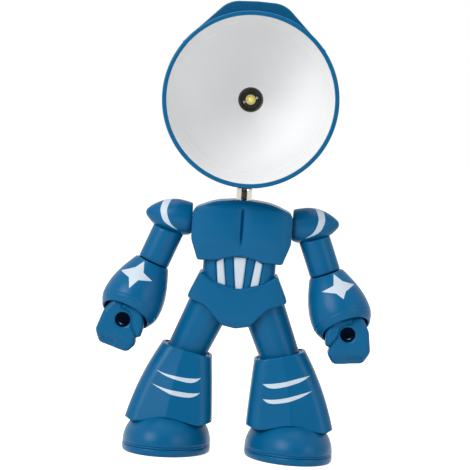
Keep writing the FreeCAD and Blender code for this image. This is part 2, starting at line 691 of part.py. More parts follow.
def waist_plan(inset=0.0):
    """Upright prism of the waist."""
    plan = mirrored([(WAIST_HALF_WIDTH, -WAIST_HALF_DEPTH, WAIST_CORNER),
                     (WAIST_HALF_WIDTH, WAIST_HALF_DEPTH, WAIST_CORNER)])
    return prism(plan, plan_view(PELVIS_BOTTOM_Z), UP * (CHEST_SHOULDER_Z - PELVIS_BOTTOM_Z), inset)


def screw_places():
    """X and Z of the four torso screws, and the back face that each goes in from."""
    places = []
    for side in (-1, 1):
        places.append((side * CHEST_SCREW_X, CHEST_SCREW_Z, CHEST_BACK_Y - CHEST_BACK_RISE * 0.6))
        places.append((side * PELVIS_SCREW_X, PELVIS_SCREW_Z, PELVIS_HALF_DEPTH))
    return places


def halves(shape):
    """Front and back half of a housing, parted on the plane through the arms and legs."""
    behind = beyond(V(0, 0, 0), ALONG_Y)
    return shape.cut(behind), shape.common(behind)


def with_bosses(shell, form, places):
    """Housing with a screw boss through it at each place."""
    for x, z, back_y in places:
        shell = shell.fuse(rod(BOSS_RADIUS, V(x, -FAR / 2, z), ALONG_Y, FAR).common(form))
    for x, z, back_y in places:
        head_y = back_y - SCREW_HEAD - SEAT_GAP
        shell = shell.cut(rod(SCREW_HEAD_RADIUS + RUN_FIT, V(x, head_y, z), ALONG_Y, FAR))
        shell = shell.cut(rod(SCREW_RADIUS, V(x, -PELVIS_HALF_DEPTH / 2, z), ALONG_Y, FAR))
    return shell


def make_screws(places):
    """The four torso screws."""
    screws = []
    for x, z, back_y in places:
        head_y = back_y - SCREW_HEAD - SEAT_GAP
        shank = rod(SCREW_RADIUS, V(x, -PELVIS_HALF_DEPTH / 2, z), ALONG_Y, head_y + PELVIS_HALF_DEPTH / 2)
        screws.append(shank.fuse(rod(SCREW_HEAD_RADIUS, V(x, head_y, z), ALONG_Y, SCREW_HEAD)).removeSplitter())
    return joined(screws)


def make_chest(places):
    """Front and back half of the chest, with seats for the bush, the axles and the electrics."""
    form = chest_skin()
    shell = with_bosses(form.cut(chest_form(WALL)), form, places)
    shell = shell.cut(rod(CHEST_HOLE_RADIUS, V(0, 0, CHEST_ARCH_Z), UP, FAR))
    shell = shell.cut(rod(SLEEVE_RADIUS, V(0, 0, PELVIS_DIP_Z), UP, CHEST_INNER_TOP_Z - PELVIS_DIP_Z))
    for side in (-1, 1):
        collar_x = CHEST_HALF_WIDTH - WALL
        shell = shell.cut(rod(AXLE_RADIUS, V(0, 0, SHOULDER_Z), ALONG_X * side, FAR))
        boss = tube(AXLE_COLLAR_RADIUS + BITE, AXLE_RADIUS, V(side * (collar_x - BITE), 0, SHOULDER_Z),
                    ALONG_X * side, WALL)
        shell = shell.fuse(boss.common(form))
    slot_half = SOCKET_HALF_WIDTH + FORM_SPARE
    slot = block(-slot_half, slot_half, CHEST_BACK_Y - 2 * WALL, FAR,
                 SOCKET_Z - SOCKET_HEIGHT / 2 - FORM_SPARE, SOCKET_Z + SOCKET_HEIGHT / 2 + FORM_SPARE)
    front, back = halves(shell.cut(slot))
    cell_front_y = -SLEEVE_RADIUS - SEAT_GAP - CELL_THICK
    board_back_y = SLEEVE_RADIUS + SEAT_GAP + CHARGE_THICK
    for side in (-1, 1):
        rib_x = side * CELL_HALF_WIDTH * RIB_SHARE
        rib = block(rib_x - RIB_HALF_THICK, rib_x + RIB_HALF_THICK, CHEST_FRONT_Y, cell_front_y,
                    CELL_BOTTOM_Z + RIB_TRIM, CELL_BOTTOM_Z + CELL_HEIGHT - RIB_TRIM)
        front = front.fuse(rib.common(form))
        post_base = V(side * CHARGE_HALF_WIDTH * RIB_SHARE, board_back_y, SOCKET_Z + CHARGE_HEIGHT / 2)
        post = rod(POST_RADIUS, post_base, ALONG_Y, CHEST_BACK_Y - board_back_y - WALL / 2)
        back = back.fuse(post)
    return front.removeSplitter(), back.removeSplitter()


def make_pelvis(places, thigh_room):
    """Front and back half of the pelvis, with a round socket for each thigh."""
    form = pelvis_form()
    shell = form.cut(pelvis_form(WALL))
    for side in (-1, 1):
        socket = Part.makeSphere(HIP_BALL_RADIUS + BALL_FIT + WALL, V(side * HIP_X, 0, HIP_Z))
        shell = shell.fuse(socket.common(form))
    shell = with_bosses(shell, form, places)
    for room in thigh_room.values():
        shell = shell.cut(room)
    shell = shell.cut(rod(SLEEVE_RADIUS, V(0, 0, SLEEVE_BOTTOM_Z), UP, FAR))
    front, back = halves(shell)
    return front.removeSplitter(), back.removeSplitter()


def make_waist(pelvis, chest):
    """Open tube between the pelvis and the chest, which rests on one and carries the other."""
    ring = waist_plan().cut(waist_plan(WAIST_WALL))
    ring = ring.cut(pelvis).cut(chest)
    between = [s for s in ring.Solids if PELVIS_DIP_Z < s.CenterOfMass.z < CHEST_WAIST_Z]
    return max(between, key=lambda s: s.Volume)


def make_electrics():
    """Flat cell in front of the neck sleeve, charging board behind it and its inlet socket."""
    cell_back_y = -SLEEVE_RADIUS - SEAT_GAP
    cell = prism(mirrored([(CELL_HALF_WIDTH, CELL_BOTTOM_Z + CELL_HEIGHT, CELL_ROUND),
                           (CELL_HALF_WIDTH, CELL_BOTTOM_Z, CELL_ROUND)]),
                 front_view(cell_back_y - CELL_THICK), ALONG_Y * CELL_THICK)
    board_y = SLEEVE_RADIUS + SEAT_GAP
    board_bottom_z = SOCKET_Z - SOCKET_HEIGHT
    board = block(-CHARGE_HALF_WIDTH, CHARGE_HALF_WIDTH, board_y, board_y + CHARGE_THICK,
                  board_bottom_z, board_bottom_z + CHARGE_HEIGHT)
    inlet = block(-SOCKET_HALF_WIDTH, SOCKET_HALF_WIDTH, board_y + CHARGE_THICK, CHEST_BACK_Y - SEAT_GAP,
                  SOCKET_Z - SOCKET_HEIGHT / 2, SOCKET_Z + SOCKET_HEIGHT / 2)
    floor_y = CHEST_BACK_Y - SOCKET_DEPTH
    mouth_x = SOCKET_HALF_WIDTH - SOCKET_WALL
    mouth_z = SOCKET_HEIGHT / 2 - SOCKET_WALL
    mouth = block(-mouth_x, mouth_x, floor_y, FAR, SOCKET_Z - mouth_z, SOCKET_Z + mouth_z)
    tongue_x = mouth_x - TONGUE_GAP
    tongue = block(-tongue_x, tongue_x, floor_y, CHEST_BACK_Y - TONGUE_SET_BACK,
                   SOCKET_Z - TONGUE_HALF_THICK, SOCKET_Z + TONGUE_HALF_THICK)
    return cell, board, inlet.cut(mouth).fuse(tongue).removeSplitter()


# Arm on the robot's left side

def arm_top():
    """Where the upper arm's axis starts, inside the pad."""
    return V(ARM_TOP_X, 0, SHOULDER_Z + ARM_LIFT)


def elbow():
    """Centre of the elbow's butt face."""
    return arm_top() + direction_down(ARM_SPLAY) * ARM_LENGTH


def make_upper_arm():
    """Shoulder pad, a smooth horn shape, and the round upper arm under it with its elbow peg."""
    rise = math.radians(PAD_RISE)
    base = V(CHEST_HALF_WIDTH + SEAT_GAP, 0, SHOULDER_Z - PAD_DROP)
    outward = V(math.cos(rise), 0, math.sin(rise))
    horn = [(-2, PAD_BASE_RADIUS - 0.5), (2, PAD_BASE_RADIUS + 0.7), (PAD_LENGTH * 0.38, PAD_RADIUS),
            (PAD_LENGTH * 0.62, PAD_RADIUS - 1.1), (PAD_LENGTH * 0.82, PAD_RADIUS * 0.57),
            (PAD_LENGTH * 0.95, PAD_RADIUS * 0.28), (PAD_LENGTH, PAD_END_RADIUS)]
    pad = turned_curve(horn, base, outward).cut(beyond(base, -ALONG_X))
    down = direction_down(ARM_SPLAY)
    arm = rod(ARM_RADIUS, arm_top(), down, ARM_LENGTH).cut(pad)
    arm = max(arm.Solids, key=lambda s: s.Volume)
    arm = arm.fuse(rod(ELBOW_PEG_RADIUS, elbow() - down * BITE, down, ELBOW_PEG + BITE)).removeSplitter()
    bore_x = CHEST_HALF_WIDTH
    pad = pad.cut(rod(AXLE_RADIUS + RUN_FIT, V(bore_x, 0, SHOULDER_Z), ALONG_X, ARM_TOP_X - bore_x))
    return pad, arm


def make_axle():
    """Shoulder pin, held by its collar inside the chest."""
    collar_x = CHEST_HALF_WIDTH - WALL - BITE - AXLE_COLLAR
    stop_x = ARM_TOP_X - SEAT_GAP
    axle = rod(AXLE_RADIUS, V(collar_x, 0, SHOULDER_Z), ALONG_X, stop_x - collar_x)
    collar = rod(AXLE_COLLAR_RADIUS, V(collar_x, 0, SHOULDER_Z), ALONG_X, AXLE_COLLAR)
    return axle.fuse(collar).removeSplitter()


def cuff_side(s):
    """Point on the cuff's outer side: radius at distance s below the elbow."""
    if s <= CUFF_SWELL:
        swell = math.sin(math.pi / 2 * s / CUFF_SWELL)
        return s, CUFF_TOP_RADIUS + (CUFF_RADIUS - CUFF_TOP_RADIUS) * swell
    fall = (s - CUFF_SWELL) / (CUFF_LENGTH - CUFF_SWELL)
    return s, CUFF_RADIUS - (CUFF_RADIUS - CUFF_MOUTH_RADIUS) * fall ** 2


def make_gauntlet():
    """Barrel shaped cuff, closed above and open below, with a slanted mouth."""
    down = direction_down(CUFF_SPLAY, CUFF_PITCH)
    arm_down = direction_down(ARM_SPLAY)
    centre = elbow()
    stations = [CUFF_SWELL * share for share in (0.25, 0.5, 0.75, 1.0)]
    stations += [(CUFF_SWELL + CUFF_LENGTH) / 2, CUFF_LENGTH]
    barrel = [(-CUFF_COLLAR, CUFF_TOP_RADIUS), (0.0, CUFF_TOP_RADIUS)] + [cuff_side(s) for s in stations]
    barrel.append((CUFF_LENGTH + CUFF_RUN_OUT, CUFF_MOUTH_RADIUS - CUFF_RUN_OUT / 3))
    body = turned_curve(barrel, centre, down)
    inner = [(CUFF_CEILING, cuff_side(CUFF_CEILING)[1] - CUFF_WALL)]
    inner += [(s, cuff_side(s)[1] - CUFF_WALL) for s in stations if s > CUFF_CEILING]
    inner.append((CUFF_LENGTH + 2 * CUFF_RUN_OUT, CUFF_MOUTH_RADIUS - CUFF_WALL))
    body = body.cut(turned_curve(inner, centre, down))
    body = body.cut(beyond(centre + arm_down * SEAT_GAP, -arm_down))
    ahead = V(0, -1, 0) - down * V(0, -1, 0).dot(down)
    slant = down + ahead.normalize() * CUFF_TRIM_SLOPE
    body = body.cut(beyond(centre + down * CUFF_TRIM, slant.normalize()))
    body = body.cut(rod(ELBOW_PEG_RADIUS + RUN_FIT, centre - arm_down * BITE, arm_down,
                        ELBOW_PEG + SEAT_GAP + BITE))
    peg_top = centre + down * (CUFF_CEILING - WRIST_PEG - SEAT_GAP)
    return body.cut(rod(WRIST_PEG_RADIUS + RUN_FIT, peg_top, down, WRIST_PEG + BITE))


def hand_place(shape):
    """Moves a shape from the hand's own frame, with the bore at its origin, to its place."""
    copy = shape.copy()
    centre = elbow() + direction_down(CUFF_SPLAY, CUFF_PITCH) * HAND_REACH
    copy.Placement = FreeCAD.Placement(centre, FreeCAD.Rotation(ALONG_Y, -HAND_SPLAY))
    return copy


def make_hand():
    """Closed fist with finger grooves round its bore, a thumb on the inner side and a wrist peg."""
    w = HAND_HALF_WIDTH
    inner = HAND_INNER_INSET - w
    heel_z = HAND_HEEL_RISE - HAND_BELOW
    fist = [(HAND_TOP_INSET - w, HAND_ABOVE, HAND_HEEL_ROUND),
            (w - HAND_TOP_INSET, HAND_ABOVE, HAND_HEEL_ROUND),
            (w, HAND_CHEEK_Z, HAND_CHEEK_ROUND), (w + SEAT_GAP, heel_z, HAND_HEEL_ROUND),
            (w - HAND_HEEL_INSET, -HAND_BELOW, HAND_HEEL_ROUND),
            (inner + HAND_HEEL_INSET / 2, -HAND_BELOW, HAND_HEEL_ROUND),
            (inner, heel_z, HAND_HEEL_ROUND), (inner, HAND_CHEEK_Z, HAND_CHEEK_ROUND)]
    depth = HAND_HALF_DEPTH
    solid = prism(fist, front_view(-depth), ALONG_Y * 2 * depth)
    plan_x = w + HAND_INNER_INSET
    plan = mirrored([(plan_x, -depth, HAND_CORNER_ROUND), (plan_x, depth, HAND_CORNER_ROUND)])
    side = mirrored([(depth, -HAND_BELOW - FORM_SPARE, HAND_EDGE_ROUND),
                     (depth, HAND_ABOVE + FORM_SPARE, HAND_EDGE_ROUND)])
    solid = solid.common(prism(plan, plan_view(-FAR / 2), UP * FAR))
    solid = solid.common(prism(side, side_view(-FAR / 2), ALONG_X * FAR))
    groove = prism(fist, front_view(-FINGER_GROOVE / 2), ALONG_Y * FINGER_GROOVE)
    groove = groove.cut(prism(fist, front_view(-FINGER_GROOVE), ALONG_Y * 2 * FINGER_GROOVE, FINGER_GROOVE))
    for number in (-1, 0, 1):
        cut = groove.copy()
        cut.translate(V(0, number * FINGER_WIDTH, 0))
        solid = solid.cut(cut)
    inner_x = -w - SEAT_GAP
    thumb_x = inner_x + THUMB_WIDTH
    thumb = [(inner_x, THUMB_TOP, THUMB_ROUND), (thumb_x, THUMB_TOP, THUMB_ROUND),
             (thumb_x, THUMB_BOTTOM + THUMB_NOTCH, THUMB_ROUND),
             (thumb_x - THUMB_NOTCH, THUMB_BOTTOM, THUMB_ROUND * 0.8),
             (inner_x, THUMB_BOTTOM + THUMB_NOTCH * 0.4, THUMB_ROUND)]
    lobe = prism(thumb, front_view(-depth - THUMB_PROUD), ALONG_Y * (depth + THUMB_PROUD))
    front_edges = [e for e in lobe.Edges if e.BoundBox.YMax < -depth - THUMB_PROUD + 1e-3]
    solid = hand_place(solid.fuse(lobe.makeFillet(THUMB_EDGE, front_edges)))
    centre = elbow()
    down = direction_down(CUFF_SPLAY, CUFF_PITCH)
    turning_radius = CUFF_MOUTH_RADIUS - CUFF_WALL - MOVE_ROOM
    mouth_end = CUFF_TRIM + CUFF_TRIM_SLOPE * CUFF_MOUTH_RADIUS + MOVE_ROOM
    free = rod(turning_radius, centre, down, FAR).fuse(beyond(centre + down * mouth_end, down))
    solid = solid.common(free)
    wrist_top = centre + down * (CUFF_CEILING + SEAT_GAP)
    wrist = rod(WRIST_RADIUS, wrist_top, down, HAND_REACH - CUFF_CEILING - HAND_BORE_RADIUS)
    peg = rod(WRIST_PEG_RADIUS, wrist_top - down * WRIST_PEG, down, WRIST_PEG + BITE)
    bore = hand_place(rod(HAND_BORE_RADIUS, V(0, -FAR / 2, 0), ALONG_Y, FAR))
    return solid.fuse(wrist).fuse(peg).cut(bore).removeSplitter()


# Leg on the robot's left side

def hip():
    """Centre of the hip ball."""
    return V(HIP_X, 0, HIP_Z)


def thigh_form(ball_room=0.0, side_room=0.0):
    """Thigh: a ball at the hip that runs into a slightly tapered bar."""
    ball = Part.makeSphere(HIP_BALL_RADIUS + ball_room, hip())
    down = direction_down(THIGH_SPLAY)
    bar = turned([(THIGH_START, 0, 0), (THIGH_START, HIP_BALL_RADIUS + side_room - THIGH_SHOULDER, 0),
                  (THIGH_COLLAR, THIGH_TOP_RADIUS + side_room, THIGH_COLLAR_ROUND),
                  (THIGH_LENGTH, THIGH_BOTTOM_RADIUS + side_room, 0), (THIGH_LENGTH, 0, 0)], hip(), down)
    return ball.fuse(bar)


def thigh_room():
    """Space that a thigh sweeps inside the pelvis as it swings."""
    room = thigh_form(BALL_FIT, BALL_FIT)
    for share in (-1.0, -0.5, 0.5, 1.0):
        room = room.fuse(turned_about_x(thigh_form(BALL_FIT, MOVE_ROOM), hip(), share * HIP_SWING))
    return room


def boot_section(z, inner, outer, front_y, back_y, inset=0.0):
    """Level section of the boot, from inner to outer of the hip, with a soft ridge on its front."""
    inner_x = HIP_X + inner
    outer_x = HIP_X + outer
    ridge_x = inner_x + (outer_x - inner_x) * BOOT_RIDGE_SHARE
    corner = BOOT_CORNER - inset
    return outline([(inner_x + inset, front_y + BOOT_RIDGE + inset, corner),
                    (ridge_x, front_y + inset, BOOT_RIDGE_ROUND),
                    (outer_x - inset, front_y + BOOT_RIDGE + inset, corner),
                    (outer_x - inset, back_y - inset, corner), (inner_x + inset, back_y - inset, corner)],
                   plan_view(z))


def boot_form(inset=0.0):
    """Flared boot through three level sections."""
    wires = [boot_section(BOOT_BOTTOM_Z, BOOT_BOTTOM_INNER, BOOT_BOTTOM_OUTER, BOOT_BOTTOM_FRONT_Y,
                          BOOT_BOTTOM_BACK_Y, inset),
             boot_section(BOOT_MID_Z, BOOT_MID_INNER, BOOT_MID_OUTER, BOOT_MID_FRONT_Y,
                          BOOT_MID_BACK_Y, inset),
             boot_section(BOOT_TOP_Z, BOOT_TOP_INNER, BOOT_TOP_OUTER, -BOOT_TOP_HALF_DEPTH,
                          BOOT_TOP_HALF_DEPTH, inset)]
    return Part.makeLoft(wires, True, False)


def foot_axis(z=0.0):
    """Point on the upright line that the foot turns about."""
    return V(FOOT_X, FOOT_Y, z)


def foot_dome(room=0.0, turn=0.0):
    """Upper half of the foot: an egg shaped dome, turned outwards."""
    height = FOOT_TOP_Z - SOLE_THICK + DOME_SINK
    dome = egg(V(0, 0, 0), FOOT_HALF_WIDTH + room, FOOT_HALF_LENGTH + room, height + room)
    dome.rotate(V(0, 0, 0), UP, FOOT_TOE_OUT + turn)
    dome.translate(foot_axis(FOOT_TOP_Z - height))
    return dome


def make_boot():
    """Boot with a slanted top, a hollow underside over the foot and a peg for the foot."""
    boot = boot_form()
    slope = math.radians(BOOT_TRIM_SLOPE)
    top = V(-math.sin(slope), 0, math.cos(slope))
    boot = boot.cut(beyond(V(HIP_X + BOOT_TRIM_OUTER, 0, BOOT_TRIM_Z), top))
    boot = boot.cut(boot_form(WALL).cut(beyond(V(0, 0, BOOT_HOLLOW_Z), UP)))
    toe_y = BOOT_BOTTOM_FRONT_Y - BOOT_INSTEP_RUN_OUT
    instep = prism([(BOOT_INSTEP_Y, -BITE, 0), (BOOT_INSTEP_Y, BOOT_BOTTOM_Z, BOOT_INSTEP_ROUND),
                    (toe_y, BOOT_INSTEP_Z, 0), (toe_y, -BITE, 0)], side_view(0), ALONG_X * FAR)
    boot = boot.cut(instep)
    for turn in (-FOOT_SWING, -FOOT_SWING / 2, 0, FOOT_SWING / 2, FOOT_SWING):
        boot = boot.cut(foot_dome(MOVE_ROOM, turn))
    boot = boot.cut(thigh_form())
    peg = rod(FOOT_PEG_RADIUS, foot_axis(FOOT_PEG_BOTTOM_Z), UP, BOOT_HOLLOW_Z - FOOT_PEG_BOTTOM_Z + BITE)
    return boot.fuse(peg).removeSplitter()


def sole_outline(inset=0.0):
    """Ellipse of the foot, turned outwards."""
    ring = Part.Ellipse(V(0, 0, 0), FOOT_HALF_LENGTH - inset, FOOT_HALF_WIDTH - inset)
    wire = Part.Wire([ring.toShape()])
    wire.rotate(V(0, 0, 0), UP, 90 + FOOT_TOE_OUT)
    wire.translate(foot_axis())
    return Part.Face(wire)


def make_foot():
    """Hollow dome with a bored boss, and the flat sole under it, parted by a groove."""
    split_z = SOLE_THICK + SOLE_GROOVE
    dome = foot_dome().cut(beyond(V(0, 0, split_z), -UP))
    neck = sole_outline(2 * SOLE_EDGE).extrude(UP * (SOLE_GROOVE + BITE / 2))
    neck.translate(UP * SOLE_THICK)
    shell = dome.fuse(neck)
    shell = shell.cut(foot_dome(-FOOT_WALL))
    boss = rod(FOOT_BOSS_RADIUS, foot_axis(SOLE_THICK), UP, FOOT_TOP_Z - SOLE_THICK - BITE)
    shell = shell.fuse(boss.common(foot_dome()))
    shell = shell.cut(rod(FOOT_PEG_RADIUS + RUN_FIT, foot_axis(0), UP, FAR))
    sole = sole_outline().extrude(UP * SOLE_THICK)
    sole = sole.makeFillet(SOLE_EDGE, [e for e in sole.Edges if e.BoundBox.ZLength < 1e-3])
    return shell.removeSplitter(), sole


def build():
    """Every piece of the lamp by its name."""
    pieces = {}
    pieces["shade_shell"] = make_shade()
    pieces["reflector"] = make_reflector()
    names = ("led_holder", "led_board", "led_bead", "led_leads", "led_heatsink")
    pieces.update(zip(names, make_lamp_parts()))
    names = ("rear_cap", "rear_cap_screws", "switch_body", "switch_button")
    pieces.update(zip(names, make_cap_parts()))
    pieces["crown_cowl"] = make_crest()
    pieces.update(zip(("head_bracket", "hinge_pin", "neck_knuckle"), make_hinge_parts()))
    pieces.update(zip(("neck_tube", "neck_stop_ring", "neck_sleeve", "neck_bush"), make_neck_parts()))

    places = screw_places()
    chest_places = [p for p in places if p[1] > CHEST_BOTTOM_Z]
    pelvis_places = [p for p in places if p[1] < CHEST_BOTTOM_Z]
    pieces["chest_front"], pieces["chest_back"] = make_chest(chest_places)
    room = both_sides(thigh_room())
    pieces["pelvis_front"], pieces["pelvis_back"] = make_pelvis(pelvis_places, room)
    pieces["waist_shell"] = make_waist(pelvis_form(), chest_form())
    pieces["torso_screws"] = make_screws(places)
    pieces.update(zip(("battery_pack", "charge_board", "usb_socket"), make_electrics()))

    pad, arm = make_upper_arm()
    shell, sole = make_foot()
    limbs = {"shoulder_axle": make_axle(), "shoulder_pad": pad, "upper_arm": arm,
             "gauntlet": make_gauntlet(), "hand": make_hand(), "thigh": thigh_form().removeSplitter(),
             "boot": make_boot(), "foot_shell": shell, "foot_sole": sole}
    for name, shape in limbs.items():
        for side, copy in both_sides(shape).items():
            pieces[name + "_" + side] = copy
    return pieces


for name, shape in build().items():
    shape.exportStep("parts/" + name + ".step")
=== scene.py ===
"""Robot shaped desk lamp: finish and visible surfaces of a posable toy robot with a lamp for a head.

Lengths in the classes are millimetres in the lamp's own frame: +X is the robot's left side, the
robot faces -Y and +Z is up. They become metres when a mesh is made.
"""
import logging
import math
from dataclasses import dataclass
from enum import Enum
from typing import Callable, Optional, Sequence

import bmesh
import bpy
import numpy as np
from mathutils import Matrix, Vector

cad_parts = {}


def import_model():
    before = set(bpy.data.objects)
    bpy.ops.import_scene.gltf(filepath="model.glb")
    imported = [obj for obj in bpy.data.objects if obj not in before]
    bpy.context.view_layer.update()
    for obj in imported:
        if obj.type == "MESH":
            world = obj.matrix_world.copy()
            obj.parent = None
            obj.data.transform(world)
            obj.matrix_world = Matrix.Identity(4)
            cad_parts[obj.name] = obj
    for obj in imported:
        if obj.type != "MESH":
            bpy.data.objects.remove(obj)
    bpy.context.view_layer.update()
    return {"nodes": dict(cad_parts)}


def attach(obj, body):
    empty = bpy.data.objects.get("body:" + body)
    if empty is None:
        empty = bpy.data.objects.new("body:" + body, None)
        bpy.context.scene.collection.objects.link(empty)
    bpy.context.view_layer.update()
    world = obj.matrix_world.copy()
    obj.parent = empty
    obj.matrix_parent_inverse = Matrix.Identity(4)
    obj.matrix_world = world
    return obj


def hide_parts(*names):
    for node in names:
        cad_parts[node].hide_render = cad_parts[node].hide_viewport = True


MM = 0.001
LOG = logging.getLogger("robot_lamp")

# Segments round a turned form, by its size
LARGE, MEDIUM, SMALL = 192, 96, 64

# Distances in metres under which points, and then edges, are merged
SOLID_WELD = (1e-7, 1e-8)
SHEET_WELD = (2e-6, 1e-7)
SHARP_TURN = 35.0

# Where flat marks stand before they are laid on a surface, and the layer they make
MARK_START = -45.0
MARK_PROUD = 0.07
MARK_THICK = 0.2

Array = np.ndarray
Height = Callable[[Array, Array], Array]


class Side(Enum):
    """The robot's own left or right side; the value is the sign of X."""

    LEFT = 1
    RIGHT = -1

    @property
    def word(self) -> str:
        """The word that ends a node's name."""
        return self.name.lower()


# Curves and grids

def unit(vector: Sequence[float]) -> Array:
    """A vector scaled to length one."""
    v = np.asarray(vector, float)
    return v / np.linalg.norm(v)


def down(splay: float, pitch: float = 0.0) -> Array:
    """Unit vector that points down, turned outwards by splay and forwards by pitch, in degrees."""
    out, ahead = math.radians(splay), math.radians(pitch)
    return np.array([math.sin(out) * math.cos(ahead), -math.sin(ahead), -math.cos(out) * math.cos(ahead)])


def smoothstep(low: float, high: float, x: Array) -> Array:
    """Zero below low, one above high, and 3t^2 - 2t^3 between."""
    t = np.clip((x - low) / (high - low), 0.0, 1.0)
    return t * t * (3 - 2 * t)


def rounded(corners: Sequence[tuple], closed: bool = True, step: float = 0.8, turn: float = 9.0) -> Array:
    """Path through corners (u, v, radius): straight runs joined by tangent arcs.

    Each arc's centre lies on the corner's bisector at radius / sin(half the inner angle).

    Args:
        corners: corner points with their rounding radius.
        closed: whether the last corner joins the first.
        step: longest straight piece.
        turn: largest turn of one arc piece, in degrees.

    Returns:
        Points of the path, one per row.
    """
    points = np.array([c[:2] for c in corners], float)
    count = len(points)
    bends = []
    for i, (_, _, radius) in enumerate(corners):
        if radius <= 0 or (not closed and i in (0, count - 1)):
            bends.append(points[i][None, :])
            continue
        back = unit(points[i - 1] - points[i])
        ahead = unit(points[(i + 1) % count] - points[i])
        half = math.acos(float(np.clip(back @ ahead, -1, 1))) / 2
        centre = points[i] + unit(back + ahead) * radius / math.sin(half)
        start = points[i] + back * radius / math.tan(half) - centre
        stop = points[i] + ahead * radius / math.tan(half) - centre
        sweep = math.pi - 2 * half
        arc_points = max(2, math.ceil(math.degrees(sweep) / turn) + 1, math.ceil(radius * sweep / step) + 1)
        share = np.linspace(0, 1, arc_points)[:, None]
        bends.append(centre + (start * np.sin((1 - share) * sweep) + stop * np.sin(share * sweep)) / math.sin(sweep))
    pieces = []
    for i, bend in enumerate(bends):
        pieces.append(bend)
        if not closed and i == count - 1:
            break
        gap = bends[(i + 1) % count][0] - bend[-1]
        number = math.ceil(np.linalg.norm(gap) / step)
        share = np.arange(1, number)[:, None] / max(1, number)
        pieces.append(bend[-1] + gap * share)
    return np.vstack(pieces)


def shifted(corners: Sequence[tuple], by: float) -> list[tuple]:
    """Corners of a turned form moved along its axis."""
    return [(by + along, radius, rounding) for along, radius, rounding in corners]


def smooth_path(knots: Sequence[tuple], count: int) -> Array:
    """Catmull-Rom curve through the knots: each span is a cubic whose slope at a knot is half the chord."""
    k = np.array(knots, float)
    k = np.vstack([2 * k[0] - k[1], k, 2 * k[-1] - k[-2]])
    t = np.linspace(0, len(knots) - 1, count)
    i = np.minimum(t.astype(int), len(knots) - 2)
    f = (t - i)[:, None]
    a, b, c, d = k[i], k[i + 1], k[i + 2], k[i + 3]
    return 0.5 * (2 * b + (c - a) * f + (2 * a - 5 * b + 4 * c - d) * f ** 2 + (3 * b - a - 3 * c + d) * f ** 3)


def inset(path: Array, distance: Array) -> Array:
    """Closed path moved inwards along its normals; distance is one value or a column, one per point."""
    ahead = np.roll(path, -1, 0) - path
    behind = path - np.roll(path, 1, 0)
    normal = lambda d: np.stack([-d[:, 1], d[:, 0]], 1) / np.maximum(np.linalg.norm(d, axis=1), 1e-9)[:, None]
    inward = normal(ahead) + normal(behind)
    inward /= np.linalg.norm(inward, axis=1)[:, None]
    area = np.sum(path[:, 0] * np.roll(path[:, 1], -1) - np.roll(path[:, 0], -1) * path[:, 1])
    return path + inward * distance * (1 if area > 0 else -1)


def link_new(name: str, data: object) -> bpy.types.Object:
    """New object with its data, linked to the scene."""
    thing = bpy.data.objects.new(name, data)
    bpy.context.scene.collection.objects.link(thing)
    return thing


def mesh_piece(name: str, grid: Array, faces: Array, weld: tuple, to_front: bool = False) -> bpy.types.Object:
    """Object from a grid of points in millimetres, with near points merged and even normals.

    Args:
        name: name of the piece.
        grid: points, with X, Y and Z in the last axis.
        faces: the four point numbers of each face in the last axis.
        weld: distances in metres under which points, and then edges, are merged.
        to_front: whether an open sheet is turned to face -Y.

    Returns:
        The new object, linked to the scene.
    """
    mesh = bpy.data.meshes.new(name)
    mesh.from_pydata((grid.reshape(-1, 3) * MM).tolist(), [], faces.reshape(-1, 4).tolist())
    work = bmesh.new()
    work.from_mesh(mesh)
    bmesh.ops.remove_doubles(work, verts=work.verts, dist=weld[0])
    bmesh.ops.dissolve_degenerate(work, edges=work.edges, dist=weld[1])
    bmesh.ops.recalc_face_normals(work, faces=work.faces)
    if to_front:
        work.normal_update()
        if sum(f.normal.y * f.calc_area() for f in work.faces) > 0:
            bmesh.ops.reverse_faces(work, faces=work.faces)
    work.to_mesh(mesh)
    work.free()
    return link_new(name, mesh)


def solid_from_grid(name: str, grid: Array, wrap_rows: bool = False, sharp: float = SHARP_TURN) -> bpy.types.Object:
    """Mesh object from a grid of points in millimetres whose columns close on themselves.

    Vertex (row, column) joins its neighbours in both directions; a row that shrinks to one point is
    merged into a pole, and the faces are turned outwards.

    Args:
        name: name of the piece.
        grid: points, shape (rows, columns, 3).
        wrap_rows: whether the last row also joins the first, as on a ring.
        sharp: edges that turn by more than this many degrees stay sharp.

    Returns:
        The new object, linked to the scene.
    """
    rows, columns = grid.shape[:2]
    index = np.arange(rows * columns).reshape(rows, columns)
    upper = np.roll(index, -1, 0) if wrap_rows else index[1:]
    lower = index if wrap_rows else index[:-1]
    faces = np.stack([lower, np.roll(lower, -1, 1), np.roll(upper, -1, 1), upper], -1)
    piece = mesh_piece(name, grid, faces, SOLID_WELD)
    piece.data.shade_smooth()
    piece.data.set_sharp_from_angle(angle=math.radians(sharp))
    return piece


@dataclass(frozen=True)
class Axis:
    """A straight axis with two directions across it, for turned forms."""

    base: Array
    along: Array
    first: Array

    @staticmethod
    def of(base: Sequence[float], along: Sequence[float], near: Sequence[float] = (0, -1, 0)) -> "Axis":
        """Axis from base along a direction; angle zero points as near to the third vector as it can."""
        a = unit(along)
        n = np.asarray(near, float)
        return Axis(np.asarray(base, float), a, unit(n - a * (n @ a)))

    def point(self, s: Array, r: Array, theta: Array) -> Array:
        """Point at distance s along the axis, radius r and angle theta."""
        second = np.cross(self.along, self.first)
        s, r, theta = (np.asarray(v, float)[..., None] for v in (s, r, theta))
        return self.base + s * self.along + r * (np.cos(theta) * self.first + np.sin(theta) * second)

    def revolve(self, profile: Array, segments: int = 128) -> Array:
        """Grid of a turned form: each profile point (s, r) goes round the axis."""
        theta = np.linspace(0, 2 * math.pi, segments, endpoint=False)
        return self.point(profile[:, :1] + 0 * theta, profile[:, 1:] + 0 * theta, theta + 0 * profile[:, :1])


